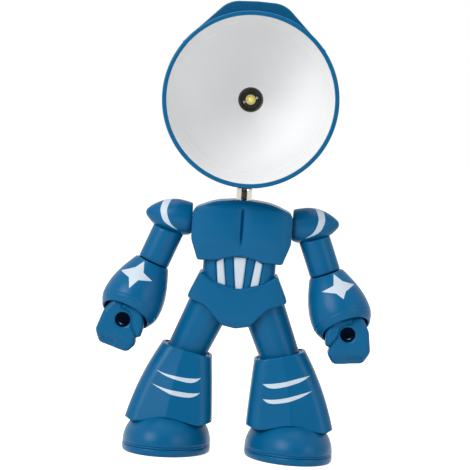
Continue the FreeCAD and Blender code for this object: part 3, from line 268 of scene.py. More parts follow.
def housing(outline: Array, front: Height, back: Height, wall: Sequence[tuple], rings: int = 22,
            inner: Optional[Array] = None) -> Array:
    """Grid of a moulded housing that is seen from the front as an outline.

    Front and back faces are heights over the outline. Rings run from the middle, or from a bore,
    to the edge; the side wall then follows wall, a list of (share of the way back, distance
    inwards), so that its ends round over and grooves run round it.

    Args:
        outline: closed outline in X and Z.
        front: Y of the front face at X and Z.
        back: Y of the back face.
        wall: side wall profile, from (0, edge) at the front to (1, edge) at the back.
        rings: rings on each face.
        inner: outline of a bore with as many points, or None for a closed face.

    Returns:
        Grid of points; its rows close on themselves only where there is a bore.
    """
    centre = outline.mean(0) if inner is None else inner
    share = np.sin(np.linspace(0, math.pi / 2, rings))[:, None, None]
    rows = []
    first = inset(outline, wall[0][1])
    flat = centre + (first - centre) * share
    rows.append(np.stack([flat[..., 0], front(flat[..., 0], flat[..., 1]), flat[..., 1]], -1))
    for way, depth in wall:
        ring = inset(outline, depth)
        low = front(first[:, 0], first[:, 1])
        high = back(first[:, 0], first[:, 1])
        rows.append(np.stack([ring[:, 0], low + (high - low) * way, ring[:, 1]], -1)[None])
    last = inset(outline, wall[-1][1])
    flat = centre + (last - centre) * share[::-1]
    rows.append(np.stack([flat[..., 0], back(flat[..., 0], flat[..., 1]), flat[..., 1]], -1))
    return np.concatenate(rows)


def level(depth: float) -> Height:
    """Face of a housing that is flat at y = depth."""
    return lambda x, z: 0 * x + depth


def wall_profile(depth: float, front_edge: float, back_edge: float, grooves: Sequence[float] = (),
                 groove: float = 0.5) -> list[tuple]:
    """Side wall of a housing: quarter rounds at both ends and shallow grooves at given depths.

    Args:
        depth: typical distance from front to back.
        front_edge: radius of the front quarter round.
        back_edge: radius of the back quarter round.
        grooves: distances from the front at which a groove runs round.
        groove: half width and depth of a groove.

    Returns:
        Pairs of (share of the way back, distance inwards).
    """
    turn = np.radians(np.linspace(0, 90, 7))
    wall = [(front_edge * (1 - math.cos(a)) / depth, front_edge * (1 - math.sin(a))) for a in turn]
    for at in grooves:
        wall += [((at - groove) / depth, 0.0), ((at - groove / 2) / depth, groove * 0.6), (at / depth, groove),
                 ((at + groove / 2) / depth, groove * 0.6), ((at + groove) / depth, 0.0)]
    wall += [(1 - back_edge * (1 - math.cos(a)) / depth, back_edge * (1 - math.sin(a))) for a in turn[::-1]]
    return wall


# Materials

class Socket:
    """A node socket or a number, on which shader maths is written as Python expressions."""

    def __init__(self, tree: "NodeTree", value: object) -> None:
        """Keeps the tree that owns the nodes and the socket or number."""
        self.tree = tree
        self.value = value

    def _math(self, operation: str, *others: object) -> "Socket":
        """A Math node on this value and others."""
        return self.tree.node("ShaderNodeMath", {"operation": operation}, [self, *others])

    def __add__(self, other: object) -> "Socket":
        """Sum."""
        return self._math("ADD", other)

    __radd__ = __add__

    def __mul__(self, other: object) -> "Socket":
        """Product."""
        return self._math("MULTIPLY", other)

    __rmul__ = __mul__

    def power(self, exponent: float) -> "Socket":
        """This value raised to a power."""
        return self._math("POWER", exponent)


class NodeTree:
    """A node tree whose nodes all come from one method."""

    def __init__(self, tree: bpy.types.NodeTree) -> None:
        """Keeps the tree and empties it."""
        self.tree = tree
        self.tree.nodes.clear()

    def node(self, kind: str, settings: Optional[dict] = None, inputs: object = (), output: object = 0) -> Socket:
        """Adds a node.

        Args:
            kind: type of the node.
            settings: attributes that are set first; "stops" sets a colour ramp's stops.
            inputs: values or sockets, as a list by position or a dict by name.
            output: name or number of the output to return.

        Returns:
            The output socket, wrapped; it holds None for a node without outputs.
        """
        made = self.tree.nodes.new(kind)
        for key, value in (settings or {}).items():
            if key == "stops":
                for at, (place, colour) in zip(made.color_ramp.elements, value):
                    at.position, at.color = place, colour
            else:
                setattr(made, key, value)
        pairs = inputs.items() if isinstance(inputs, dict) else enumerate(inputs)
        for key, value in pairs:
            self.feed(made.inputs[key], value)
        return Socket(self, made.outputs[output] if made.outputs else None)

    def feed(self, target: object, value: object) -> None:
        """Links a socket to an input, or sets a plain value on it."""
        value = value.value if isinstance(value, Socket) else value
        if isinstance(value, bpy.types.NodeSocket):
            self.tree.links.new(value, target)
        else:
            target.default_value = value

    def ray(self, kind: str) -> Socket:
        """One for rays of a kind, such as Camera, and zero for the others."""
        return self.node("ShaderNodeLightPath", output=f"Is {kind} Ray")

    def blend(self, share: object, first: Sequence[float], second: Sequence[float]) -> Socket:
        """Mix of two colours; the share is kept between zero and one."""
        inputs = {0: share, 6: (*first, 1), 7: (*second, 1)}
        return self.node("ShaderNodeMix", {"data_type": "RGBA"}, inputs, 2)


class Shader(NodeTree):
    """A node material with its surface shader."""

    def __init__(self, name: str) -> None:
        """Makes an empty node material with its shader and output."""
        self.material = bpy.data.materials.new(name)
        self.material.use_nodes = True
        super().__init__(self.material.node_tree)
        shaded = self.node("ShaderNodeBsdfPrincipled")
        self.surface = shaded.value.node
        self.node("ShaderNodeOutputMaterial", inputs={"Surface": shaded})

    def set(self, **values: object) -> None:
        """Sets or links sockets of the surface shader; underscores in a name stand for spaces."""
        for key, value in values.items():
            self.feed(self.surface.inputs[key.replace("_", " ")], value)

    def place(self) -> Socket:
        """Position in the object's own frame."""
        return self.node("ShaderNodeTexCoord", output="Object")

    def noise(self, scale: float, detail: float = 2.0, rough: float = 0.5) -> Socket:
        """Noise on object coordinates, about 0.5, with so many waves a metre."""
        inputs = {"Vector": self.place(), "Scale": scale, "Detail": detail, "Roughness": rough}
        return self.node("ShaderNodeTexNoise", inputs=inputs)

    def bump(self, height: Socket, distance: float, strength: float, normal: Optional[Socket] = None) -> Socket:
        """Normal that is tilted by a height, in metres of distance, on top of another normal."""
        inputs = {"Strength": strength, "Distance": distance, "Height": height}
        if normal:
            inputs["Normal"] = normal
        return self.node("ShaderNodeBump", inputs=inputs)


@dataclass(frozen=True)
class MouldedPlastic:
    """Satin moulded plastic: faint clouds of colour, fine mould grain and soft uneven gloss."""

    name: str
    colour: tuple
    light: tuple
    roughness: float = 0.36
    grain: float = 0.35
    gloss: float = 0.5
    cloud_scale: float = 55.0
    grain_scale: float = 5200.0
    grain_height: float = 0.00002
    wave: float = 0.25
    wave_height: float = 0.00035

    def build(self) -> bpy.types.Material:
        """Makes the node material."""
        shader = Shader(self.name)
        cloud = shader.noise(self.cloud_scale, 3.0)
        speck = shader.noise(self.grain_scale, 1.0)
        wear = shader.noise(self.cloud_scale * 7, 4.0, 0.6)
        shader.set(Specular_IOR_Level=self.gloss, Base_Color=shader.blend(cloud, self.colour, self.light))
        shader.set(Roughness=0.10 * wear + (0.06 * speck + (self.roughness - 0.08)))
        waves = shader.noise(self.cloud_scale * 2.2, 1.0)
        fine = shader.bump(speck, self.grain_height, self.grain)
        shader.set(Normal=shader.bump(waves, self.wave_height, self.wave, fine))
        return shader.material


@dataclass(frozen=True)
class Metal:
    """Metal with faint lengthwise polishing marks."""

    name: str
    colour: tuple
    roughness: float
    marks: float = 0.15
    dulling: float = 0.93

    def build(self) -> bpy.types.Material:
        """Makes the node material."""
        shader = Shader(self.name)
        place = shader.node("ShaderNodeMapping", inputs={"Vector": shader.place(), "Scale": (1, 1, 0.04)})
        line = shader.node("ShaderNodeTexNoise", inputs={"Vector": place, "Scale": 2600.0, "Detail": 2.0})
        dull = shader.noise(180.0, 3.0)
        worn = tuple(self.dulling * c for c in self.colour)
        shader.set(Metallic=1.0, Base_Color=shader.blend(dull, self.colour, worn))
        shader.set(Roughness=(self.roughness - self.marks / 2) + self.marks * line)
        return shader.material


@dataclass(frozen=True)
class Phosphor:
    """Yellow phosphor of a white light source, under clear resin, with a faint painted glow."""

    name: str
    core: tuple
    edge: tuple
    radius: float
    centre: tuple

    def build(self) -> bpy.types.Material:
        """Makes the node material: the colour fades from the core to the edge, and a faint painted glow is added
        though the light source is not lit.
        """
        shader = Shader(self.name)
        inputs = [shader.place(), tuple(c * MM for c in self.centre)]
        away = shader.node("ShaderNodeVectorMath", {"operation": "SUBTRACT"}, inputs)
        flat = shader.node("ShaderNodeVectorMath", {"operation": "MULTIPLY"}, [away, (1, 0, 1)])
        reach = shader.node("ShaderNodeVectorMath", {"operation": "LENGTH"}, [flat], "Value")
        share = reach * (1 / (self.radius * MM))
        shader.set(Base_Color=shader.blend(share.power(3.0), self.core, self.edge), Roughness=0.2, Coat_Weight=0.6)
        # Painted glow: the unlit light source gets a faint emission so that it stays bright in the shade of its hole
        shader.set(Emission_Color=(*self.core, 1), Emission_Strength=0.4)
        return shader.material


# Marks, laid on a surface

@dataclass(frozen=True)
class Photo:
    """The levelled photograph's scale: where a pixel lies in the lamp's frame."""

    middle_x: float = 241.5
    head_row: float = 98.9
    pitch: float = 0.48
    distance: float = 1100.0
    head_z: float = 170.9

    def spot(self, pixels: Array, depth: float) -> Array:
        """X and Z, in millimetres, of pixels on the upright plane y = depth."""
        scale = self.pitch * (self.distance + depth) / self.distance
        x = (pixels[..., 0] - self.middle_x) * scale
        return np.stack([x, self.head_z - (pixels[..., 1] - self.head_row) * scale], -1)


PHOTO = Photo()


def sheet(name: str, grid: Array) -> bpy.types.Object:
    """Open sheet from a grid of points in millimetres, turned to face the front."""
    rows, columns = grid.shape[:2]
    index = np.arange(rows * columns).reshape(rows, columns)
    faces = np.stack([index[:-1, :-1], index[:-1, 1:], index[1:, 1:], index[1:, :-1]], -1)
    return mesh_piece(name, grid, faces, SHEET_WELD, to_front=True)


def settle(piece: bpy.types.Object) -> None:
    """Turns a piece's modifiers into its mesh, with smooth faces and sharp edges."""
    graph = bpy.context.evaluated_depsgraph_get()
    mesh = bpy.data.meshes.new_from_object(piece.evaluated_get(graph))
    piece.modifiers.clear()
    piece.data = mesh
    mesh.shade_smooth()
    mesh.set_sharp_from_angle(angle=math.radians(SHARP_TURN))


def lay_on(mark: bpy.types.Object, target: bpy.types.Object, proud: float = MARK_PROUD,
           thick: float = MARK_THICK) -> None:
    """Drops a flat mark straight back onto a piece and gives it a thickness.

    Args:
        mark: flat mesh in front of the piece.
        target: the piece that it is printed on.
        proud: height of its face over the surface.
        thick: thickness, most of which lies under the surface.
    """
    drop = mark.modifiers.new("drop", "SHRINKWRAP")
    drop.target = target
    drop.wrap_method = "PROJECT"
    drop.use_project_y = True
    drop.use_positive_direction = True
    drop.use_negative_direction = False
    drop.offset = proud * MM
    wall = mark.modifiers.new("wall", "SOLIDIFY")
    wall.thickness = thick * MM
    wall.offset = -1.0
    settle(mark)


def between(first: Array, second: Array, rows: int = 9) -> Array:
    """Grid of flat points that runs from one edge line to another in equal shares."""
    share = np.linspace(0, 1, rows)[:, None, None]
    return first + (second - first) * share


def upright(flat: Array, depth: float) -> Array:
    """Flat X and Z points stood on the plane y = depth."""
    return np.stack([flat[..., 0], np.full(flat.shape[:-1], depth), flat[..., 1]], -1)


def carve(piece: bpy.types.Object, cutters: Sequence[bpy.types.Object]) -> None:
    """Cuts closed pieces out of another and removes them."""
    for number, cutter in enumerate(cutters):
        cut = piece.modifiers.new(f"cut_{number}", "BOOLEAN")
        cut.operation = "DIFFERENCE"
        cut.solver = "EXACT"
        cut.object = cutter
    settle(piece)
    for cutter in cutters:
        bpy.data.objects.remove(cutter)


def plug(place: Sequence[float], radius: float, length: float) -> bpy.types.Object:
    """Round cutter along +Y that starts at a place."""
    axis = Axis.of(place, (0, 1, 0), (0, 0, 1))
    profile = np.array([(0, 0), (0, radius), (length, radius), (length, 0)], float)
    return solid_from_grid("cutter", axis.revolve(profile, 48))


def arc_through(first: tuple, middle: tuple, last: tuple, count: int) -> Array:
    """Circular arc through three points: its centre is where the chords' bisectors meet."""
    a, b, c = (np.array(p, float) for p in (first, middle, last))
    rows = np.array([b - a, c - a]) * 2
    centre = np.linalg.solve(rows, np.array([b @ b - a @ a, c @ c - a @ a]))
    angle = np.unwrap([math.atan2(*(p - centre)[::-1]) for p in (a, b, c)])
    theta = np.linspace(angle[0], angle[2], count)[:, None]
    return centre + np.linalg.norm(a - centre) * np.hstack([np.cos(theta), np.sin(theta)])


# Parts

class Part:
    """A sub-assembly: builds its pieces, dresses them and seats them on their bodies."""

    body = "root"

    def __init__(self, finishes: dict) -> None:
        """Keeps the finishes by name."""
        self.finishes = finishes

    def seat(self, piece: bpy.types.Object, finish: str, slot: str, *nodes: str, body: str = "") -> bpy.types.Object:
        """Gives a piece its finish, its body and the nodes that it stands for.

        Args:
            piece: the new piece.
            finish: name of its finish.
            slot: the record's material slot; not used.
            nodes: nodes that it replaces.
            body: the body it rides on, if it isn't the part's own.

        Returns:
            The same piece.
        """
        piece.data.materials.clear()
        piece.data.materials.append(self.finishes[finish])
        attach(piece, body or self.body)
        if nodes:
            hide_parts(*nodes)
        LOG.info("%s: %d faces", piece.name, len(piece.data.polygons))
        return piece


class Limb(Part):
    """An arm or a leg, which is made for the left side at +X and mirrored for the right one."""

    def __init__(self, finishes: dict, side: Side, sizes: object) -> None:
        """Keeps the side and the sizes."""
        super().__init__(finishes)
        self.side = side
        self.sizes = sizes

    def put(self, name: str, grid: Array, **options: object) -> bpy.types.Object:
        """Mesh of a grid made for the left side, mirrored where needed; the name ends with the side."""
        return solid_from_grid(f"{name}_{self.side.word}", grid * [self.side.value, 1, 1], **options)


@dataclass(frozen=True)
class HeadSizes:
    """Sizes of the lamp head; distances along its axis are Y.

    The tables of the holder, board, source and leads hold (distance, radius, rounding).
    """

    z: float = 170.9
    front: float = -30.0
    rim: float = 41.5
    rim_inner: float = 39.4
    skirt: float = 10.0
    taper: float = 0.5
    bulge: tuple = (2.0, 32.8)
    back: tuple = (22.0, 17.0)
    wall: float = 1.3
    band: tuple = (-17.0, 35.3)
    bowl_mid: tuple = (4.5, 21.5)
    bowl_back: tuple = (14.0, 6.08)
    holder: float = 8.5
    holder_back: float = 20.0
    holder_steps: tuple = ((0, 5.95, 0.15), (1.2, 5.75, 0.1), (1.3, 5.4, 0.1), (2.5, 5.3, 0.1), (2.6, 5.1, 0.1))
    board: float = 1.2
    board_face: tuple = ((0, 5.04, 0.2), (0, 4.3, 0.1), (0.15, 4.2, 0.1), (0.15, 3.9, 0.1), (0, 3.8, 0.1), (0, 0, 0))
    source: tuple = ((0, 0, 0), (0, 2.45, 0), (-0.75, 2.45, 0.25), (-0.8, 2.15, 0.1), (-2.3, 1.5, 1.2), (-2.8, 0, 0))
    lead: tuple = ((0, 0, 0), (0.05, 0.65, 0.5), (0.5, 0.95, 0.2), (0.55, 0, 0))
    lead_front: float = 0.45
    lead_offset: float = 3.3
    lead_slope: float = 22.0
    cap_back: float = 28.5
    cap_flat: float = 9.0
    cap_screw_x: float = 9.6
    screw_head: float = 1.9
    button: float = 3.4
    crest: tuple = ((0, 46.5), (13.2, 46.0), (34.0, 25.2))
    crest_front: float = -20.0
    crest_back: float = 8.0
    crest_shrink: float = 0.72
    crest_round: float = 13.0
    crest_edge: float = 1.0
    crest_bite: float = 0.25


class Head(Part):
    """Lamp head: shade, crest, bowl, light source, rear cap and push button."""

    body = "head"

    def __init__(self, finishes: dict, sizes: HeadSizes = HeadSizes()) -> None:
        """Keeps sizes and the level axis that runs from front to back."""
        super().__init__(finishes)
        self.sizes = sizes
        self.axis = Axis.of((0, 0, sizes.z), (0, 1, 0), (0, 0, 1))

    def side(self, inwards: float = 0.0) -> Array:
        """Profile (y, radius) of the shade's outside: a straight skirt, then one long arc."""
        s = self.sizes
        skirt = (s.front + s.skirt, s.rim - s.taper - inwards)
        arc = arc_through(skirt, (s.bulge[0], s.bulge[1] - inwards), (s.back[0], s.back[1] - inwards), 60)
        return np.vstack([[(s.front + 1.0, s.rim - inwards)], arc])

    def shade(self) -> None:
        """Shell with a rolled lip in front, open at the back."""
        s = self.sizes
        lip = rounded([(s.front + 4, s.rim - 0.2, 0), (s.front, s.rim, 0.9), (s.front, s.rim_inner, 0.5),
                       (s.front + s.wall, s.rim_inner, 0), (s.front + s.wall, s.rim - s.wall, 0)],
                      closed=False, step=0.5)
        outer = self.side()[1:][::-1]
        inner = self.side(s.wall)[1:]
        shell = solid_from_grid("lamp_shade", self.axis.revolve(np.vstack([outer, lip, inner]), LARGE), wrap_rows=True)
        self.seat(shell, "blue", "blue_shell", "shade_shell")

    def bowl(self) -> None:
        """White bowl: a slanted band, a fine step and a deep round bowl to the lamp hole."""
        s = self.sizes
        front = s.front + s.wall
        arc = arc_through(s.band, s.bowl_mid, s.bowl_back, 70)
        step = (s.band[0] + 0.25, s.band[1] + 0.02)
        edge = rounded([(front, s.rim_inner - 0.1, 0), (s.band[0], s.band[1] + 0.22, 0.1), step + (0.15,),
                        tuple(arc[2]) + (0,)], closed=False)
        outer = np.vstack([arc[::-1] + [(0.0, 1.2)], [(front, s.rim - s.wall - 0.1)]])
        grid = self.axis.revolve(np.vstack([edge, arc[3:], outer]), LARGE)
        bowl = solid_from_grid("white_bowl", grid, wrap_rows=True)
        self.seat(bowl, "white", "white_bowl", "reflector")

    def light(self) -> None:
        """Dark holder with stepped rings round the light source on its board, and two leads."""
        s = self.sizes
        start = s.bowl_back[0]
        floor = s.holder_back - s.board
        steps = [(start, s.holder, 0)] + shifted(s.holder_steps, start)
        steps += [(s.holder_back, s.holder_steps[-1][1], 0), (s.holder_back, s.holder, 0)]
        steps = rounded(steps, step=0.4, turn=20)
        holder = solid_from_grid("lamp_holder", self.axis.revolve(steps, MEDIUM), wrap_rows=True)
        self.seat(holder, "dark", "dark_holder", "led_holder")
        board = [(s.holder_back, 0, 0), (s.holder_back, s.board_face[0][1], 0)] + shifted(s.board_face, floor)
        board = rounded(board, closed=False, step=0.4, turn=20)
        board = solid_from_grid("lamp_board", self.axis.revolve(board, MEDIUM))
        self.seat(board, "board", "board", "led_board")
        source = rounded(shifted(s.source, floor), closed=False, step=0.25, turn=12)
        source = solid_from_grid("light_source", self.axis.revolve(source, SMALL))
        self.seat(source, "phosphor", "led", "led_bead")
        slope = math.radians(s.lead_slope)
        for end in (-1, 1):
            x = end * s.lead_offset * math.cos(slope)
            z = s.z + end * s.lead_offset * math.sin(slope)
            pad = Axis.of((x, floor - s.lead_front, z), (0, 1, 0), (0, 0, 1))
            blob = rounded(s.lead, closed=False, step=0.2, turn=15)
            lead = solid_from_grid("solder_joint_" + ("left" if end > 0 else "right"), pad.revolve(blob, 32))
            self.seat(lead, "steel", "tin")

    def cap(self) -> None:
        """Rear cap with a stepped edge, sunk screw holes and a hole for the button."""
        s = self.sizes
        y, r = s.back
        hole = s.button + 0.2
        skin = rounded([(y - 2, r - s.wall - 0.06, 0), (y, r - s.wall - 0.06, 0), (y + 0.25, r - 0.5, 0.2),
                        (y + 0.6, r, 0.6), (s.cap_back, s.cap_flat, 3.2), (s.cap_back, hole + 1.4, 0.2),
                        (s.cap_back - 0.5, hole + 1.1, 0.2), (s.cap_back - 0.5, hole, 0.15),
                        (s.cap_back - 2, hole, 0), (s.cap_back - 2, s.cap_flat - 2, 1), (y + 0.5, r - 4, 0),
                        (y - 2, r - 4, 0)])
        cap = solid_from_grid("back_cap", self.axis.revolve(skin, 160), wrap_rows=True)
        holes = [plug((end * s.cap_screw_x, y + 1, s.z), s.screw_head + 0.1, 20) for end in (-1, 1)]
        carve(cap, holes)
        self.seat(cap, "blue", "blue_shell", "rear_cap")
        top = s.cap_back + 1.5
        button = rounded([(s.cap_back - 2.4, 0, 0), (s.cap_back - 2.4, s.button, 0), (top, s.button, 0.6),
                          (top - 0.35, 0.8, 2), (top - 0.35, 0, 0)], closed=False, step=0.4)
        button = solid_from_grid("push_button", self.axis.revolve(button, MEDIUM))
        self.seat(button, "button", "button", "switch_button", body="button")

    def crest(self) -> None:
        """Crest over the back of the rim, as rings of one closed section carried round the head's axis.

        The section's height over the shade at an angle is the outline's reach less the shade's
        radius; it shrinks evenly to the rear and its edges follow a quarter round.
        """
        s = self.sizes
        (_, top_z), (shoulder_x, shoulder_z), (side_x, side_z) = s.crest
        half = rounded([(0, top_z, 0), (shoulder_x, shoulder_z, s.crest_round), (side_x, side_z, 0)],
                       closed=False, step=0.4, turn=2.5)
        outline = np.vstack([half[::-1], half[1:] * [-1, 1]])
        angle = np.arctan2(outline[:, 1], outline[:, 0])
        reach = np.hypot(outline[:, 0], outline[:, 1])[None]
        profile = self.side(s.crest_bite)
        turn = np.radians(np.linspace(0, 90, 7))
        lead, drop = s.crest_edge * (1 - np.cos(turn)), s.crest_edge * (1 - np.sin(turn))
        flat = np.linspace(s.crest_front + 2, s.crest_back - 2, 24)
        y = np.concatenate([s.crest_front + lead, flat, s.crest_back - lead[::-1]])
        fall = np.concatenate([drop, 0 * flat, drop[::-1]])[:, None]
        size = 1 - (y - s.crest_front)[:, None] / (s.crest_back - s.crest_front) * (1 - s.crest_shrink)
        ground = np.interp(y, profile[:, 0], profile[:, 1])[:, None]
        over = np.maximum(ground + (reach - ground[0]) * size - fall, ground)
        radius = np.vstack([over, (ground + 0 * reach)[::-1]])
        depth = np.concatenate([y, y[::-1]])[:, None] + 0 * radius
        grid = np.stack([radius * np.cos(angle), depth, s.z + radius * np.sin(angle)], -1)
        crest = solid_from_grid("crown_crest", grid.transpose(1, 0, 2), sharp=40)
        # Painted shade: the crest takes the darker copy of the blue plastic
        self.seat(crest, "deep_blue", "deep_blue_shell", "crown_cowl")

    def build(self) -> None:
        """Builds and dresses the whole head."""
        self.shade()
        self.bowl()
        self.light()
        self.cap()
        self.crest()


@dataclass(frozen=True)
class TorsoSizes:
    """Sizes of the torso; half outlines run from the top middle to the bottom middle."""

    chest: tuple = ((0, 123.3, 60), (13.5, 121.9, 30), (23.9, 117.6, 4.0), (23.9, 103.2, 8.0), (20.3, 93.3, 1.4),
                    (12.3, 93.6, 6.0), (0, 96.7, 12.0))
    pelvis: tuple = ((0, 80.5, 8.0), (12.0, 83.7, 8.0), (18.4, 88.0, 1.2), (24.1, 75.2, 1.4), (14.5, 71.4, 8.0),
                     (7.0, 62.9, 4.0), (0, 61.5, 6.0))
    chest_front: float = -15.0
    chest_back: float = 13.0
    pelvis_front: float = -13.0
    pelvis_back: float = 13.0
    wall_depth: float = 11.0
    seam: float = 0.18
    waist: tuple = (17.4, 11.0, 6.0)
    waist_z: tuple = (79.0, 98.6)
    chest_screws: tuple = (18.0, 100.5)
    pelvis_screws: tuple = (18.8, 81.5)
    screw_head: float = 1.9
    inlet: tuple = (3.85, 1.4, 102.0)
    inlet_round: float = 1.2
    inlet_y: tuple = (6.9, 20.0)
    bar_depth: float = 0.95
    bar_groove: float = 0.42
    bar_trim: float = 0.22
    bar_proud: float = 0.12
    bar_thick: float = 0.3
    well: float = 8.3
    well_z: tuple = (88.0, 117.5, 140.0)
    neck_hole: float = 4.1
    chest_half: float = 24.7
    breast: tuple = (0.9, 9.5, 13.0)
    breast_z: tuple = (96.0, 106.0, 122.0, 112.0)
    tuck: tuple = (1.3, 2.0)
    tuck_z: tuple = (104.0, 93.0, 118.0, 124.0)
    valley: tuple = (0.8, 2.8)
    crease: tuple = (1.5, 0.5)
    valley_z: tuple = (98.0, 107.0, 120.5, 117.0)
    bevel: tuple = (0.9, 1.6)
    top_line: tuple = (123.0, 0.0096)
    pelvis_half: float = 25.0
    pelvis_tuck: float = 1.5
    screw_length: float = 10.0


# Pixels of the bars' corners, left and right as in the picture: both at the top, then both below
BAR_MIDDLE = ((234.9, 257.5), (248.6, 257.5), (238.6, 289.5), (246.6, 289.5))
BAR_LEFT = ((218.0, 263.0), (225.7, 259.0), (220.3, 284.0), (229.7, 288.0))


class Torso(Part):
    """Chest, waist and pelvis."""

    def __init__(self, finishes: dict, sizes: TorsoSizes = TorsoSizes()) -> None:
        """Keeps the sizes."""
        super().__init__(finishes)
        self.sizes = sizes

    @staticmethod
    def whole(half: Sequence[tuple]) -> Array:
        """Closed rounded outline from its +X half."""
        return rounded(list(half) + [(-u, v, r) for u, v, r in half[-2:0:-1]], step=0.45, turn=5)

    @staticmethod
    def box(x: Array, depth: float, half: float) -> Array:
        """Depth that stays nearly flat and falls away at the sides: the fifth-power form of a circle."""
        return depth * np.clip(1 - np.abs(x / half) ** 5, 0, 1) ** 0.2

    def chest_front(self, x: Array, z: Array) -> Array:
        """Y of the chest's front.

        A rounded box, drawn back towards the bottom and the top edge, with two breast halves that
        swell by a squared cosine, a soft valley between them with a fine crease in it, both bell
        curves, and a bevel along the arched top edge.
        """
        s = self.sizes
        rise, middle, half = s.breast
        swell = rise * np.cos(np.clip((np.abs(x) - middle) / half, -1, 1) * math.pi / 2) ** 2
        swell = swell * smoothstep(*s.breast_z[:2], z) * smoothstep(*s.breast_z[2:], z)
        tuck = smoothstep(*s.tuck_z[:2], z) * s.tuck[0] + smoothstep(*s.tuck_z[2:], z) * s.tuck[1]
        fade = smoothstep(*s.valley_z[:2], z) * smoothstep(*s.valley_z[2:], z)
        valley = sum(depth * np.exp(-(x / width) ** 2) for depth, width in (s.valley, s.crease))
        top_line = s.top_line[0] - s.top_line[1] * x * x
        bevel = s.bevel[0] * np.clip(z - top_line + s.bevel[1], 0, 4)
        return self.box(x, s.chest_front + 0.6, s.chest_half) - swell + tuck + fade * valley + bevel

    def chest_rear(self, x: Array, z: Array) -> Array:
        """Y of the chest's back: a rounded box that leans in at the top and the bottom."""
        lean = smoothstep(116.0, 123.5, z) * 1.5 + smoothstep(100.0, 93.0, z) * 1.0
        return self.box(x, self.sizes.chest_back, self.sizes.chest_half) - lean

    def well(self) -> bpy.types.Object:
        """Cutter for the room inside the chest in which the neck's stop ring travels, and its mouth."""
        s = self.sizes
        bottom, step, top = s.well_z
        profile = np.array([(bottom, 0), (bottom, s.well), (step, s.well), (step, s.neck_hole), (top, s.neck_hole),
                            (top, 0)], float)
        return solid_from_grid("cutter", Axis.of((0, 0, 0), (0, 0, 1)).revolve(profile, SMALL))

    def screw_holes(self, place: tuple, depth: float) -> list[bpy.types.Object]:
        """Cutters of the two screw holes at X and Z, which start at a depth."""
        s = self.sizes
        return [plug((end * place[0], depth, place[1]), s.screw_head, s.screw_length) for end in (-1, 1)]

    def chest(self) -> None:
        """Chest halves, parted by a fine line at the sides, with screw holes and the inlet behind."""
        s = self.sizes
        outline = self.whole(s.chest)
        front = housing(outline, self.chest_front, level(0.0), wall_profile(s.wall_depth, 1.1, s.seam), rings=64)
        back = housing(outline, level(0.0), self.chest_rear, wall_profile(s.wall_depth, s.seam, 1.6), rings=34)
        front = solid_from_grid("chest_shell", front)
        carve(front, [self.well()])
        self.seat(front, "blue", "blue_shell", "chest_front")
        half_x, half_z, z = s.inlet
        corners = [(-half_x, z - half_z), (half_x, z - half_z), (half_x, z + half_z), (-half_x, z + half_z)]
        slot = rounded([corner + (s.inlet_round,) for corner in corners], step=1, turn=12)
        slot = housing(slot, *map(level, s.inlet_y), [(0, 0), (1, 0)], rings=2)
        back = solid_from_grid("chest_back_shell", back)
        carve(back, [self.well(), solid_from_grid("cutter", slot)] + self.screw_holes(s.chest_screws, 11.0))
        self.seat(back, "blue", "blue_shell", "chest_back")

    def pelvis(self) -> None:
        """Pelvis halves, with their screw holes behind."""
        s = self.sizes
        outline = self.whole(s.pelvis)
        tuck = lambda z: smoothstep(68.0, 60.0, z) * s.pelvis_tuck
        lift = lambda x, z: self.box(x, s.pelvis_front, s.pelvis_half) + tuck(z)
        rear = lambda x, z: self.box(x, s.pelvis_back, s.pelvis_half) - tuck(z)
        front = housing(outline, lift, level(0.0), wall_profile(s.wall_depth, 1.2, s.seam), rings=34)
        back = housing(outline, level(0.0), rear, wall_profile(s.wall_depth, s.seam, 1.3), rings=34)
        self.seat(solid_from_grid("pelvis_shell", front), "blue", "blue_shell", "pelvis_front")
        back = solid_from_grid("pelvis_back_shell", back)
        carve(back, self.screw_holes(s.pelvis_screws, 11.2))
        self.seat(back, "blue", "blue_shell", "pelvis_back")

    def bars(self) -> list[Array]:
        """Corner points of the three white bars on the waist's front, in X and Z."""
        depth = -self.sizes.waist[1]
        middle = PHOTO.spot(np.array(BAR_MIDDLE), depth)
        left = PHOTO.spot(np.array(BAR_LEFT), depth)
        return [middle, left, left * [-1, 1]]

    def waist(self) -> None:
        """Waist: an upright rounded box whose front has a fine groove on both sides of each bar.

        A groove's depth is a bell curve of the level distance from the bar's side line.
        """
        s = self.sizes
        half_x, half_y, corner = s.waist
        plan = rounded([(half_x, -half_y, corner), (half_x, half_y, corner), (-half_x, half_y, corner),
                        (-half_x, -half_y, corner)], step=0.14, turn=4)
        z = np.linspace(*s.waist_z, 40)[:, None]
        cut = 0 * z + 0 * plan[None, :, 0]
        for top_first, top_last, low_first, low_last in self.bars():
            for top, low in ((top_first, low_first), (top_last, low_last)):
                line = low[0] + (top[0] - low[0]) * (z - low[1]) / (top[1] - low[1])
                cut = cut + s.bar_depth * np.exp(-((plan[None, :, 0] - line) / s.bar_groove) ** 2)
        cut = np.where(plan[None, :, 1] < 0, cut, 0)
        rows = [np.stack([p[:, 0], p[:, 1], 0 * p[:, 0] + height[0]], -1)
                for p, height in ((inset(plan, c[:, None]), h) for c, h in zip(cut, z))]
        grid = np.stack(rows)
        ends = [g[None] * [0, 0, 1] for g in (grid[0], grid[-1])]
        waist = solid_from_grid("waist_tube", np.concatenate([ends[0], grid, ends[1]]), sharp=60)
        self.seat(waist, "blue", "blue_shell", "waist_shell")
        for name, bar in zip(("middle", "left", "right"), self.bars()):
            trim = s.bar_trim * np.sign(bar[1, 0] - bar[0, 0])
            first = np.linspace(bar[0] + [trim, 0], bar[2] + [trim, 0], 30)
            last = np.linspace(bar[1] - [trim, 0], bar[3] - [trim, 0], 30)
            mark = sheet("waist_bar_" + name, upright(between(first, last, 16), MARK_START))
            lay_on(mark, waist, s.bar_proud, s.bar_thick)
            self.seat(mark, "mark", "blue_shell")

    def build(self) -> None:
        """Builds and dresses the torso."""
        self.chest()
        self.pelvis()
        self.waist()


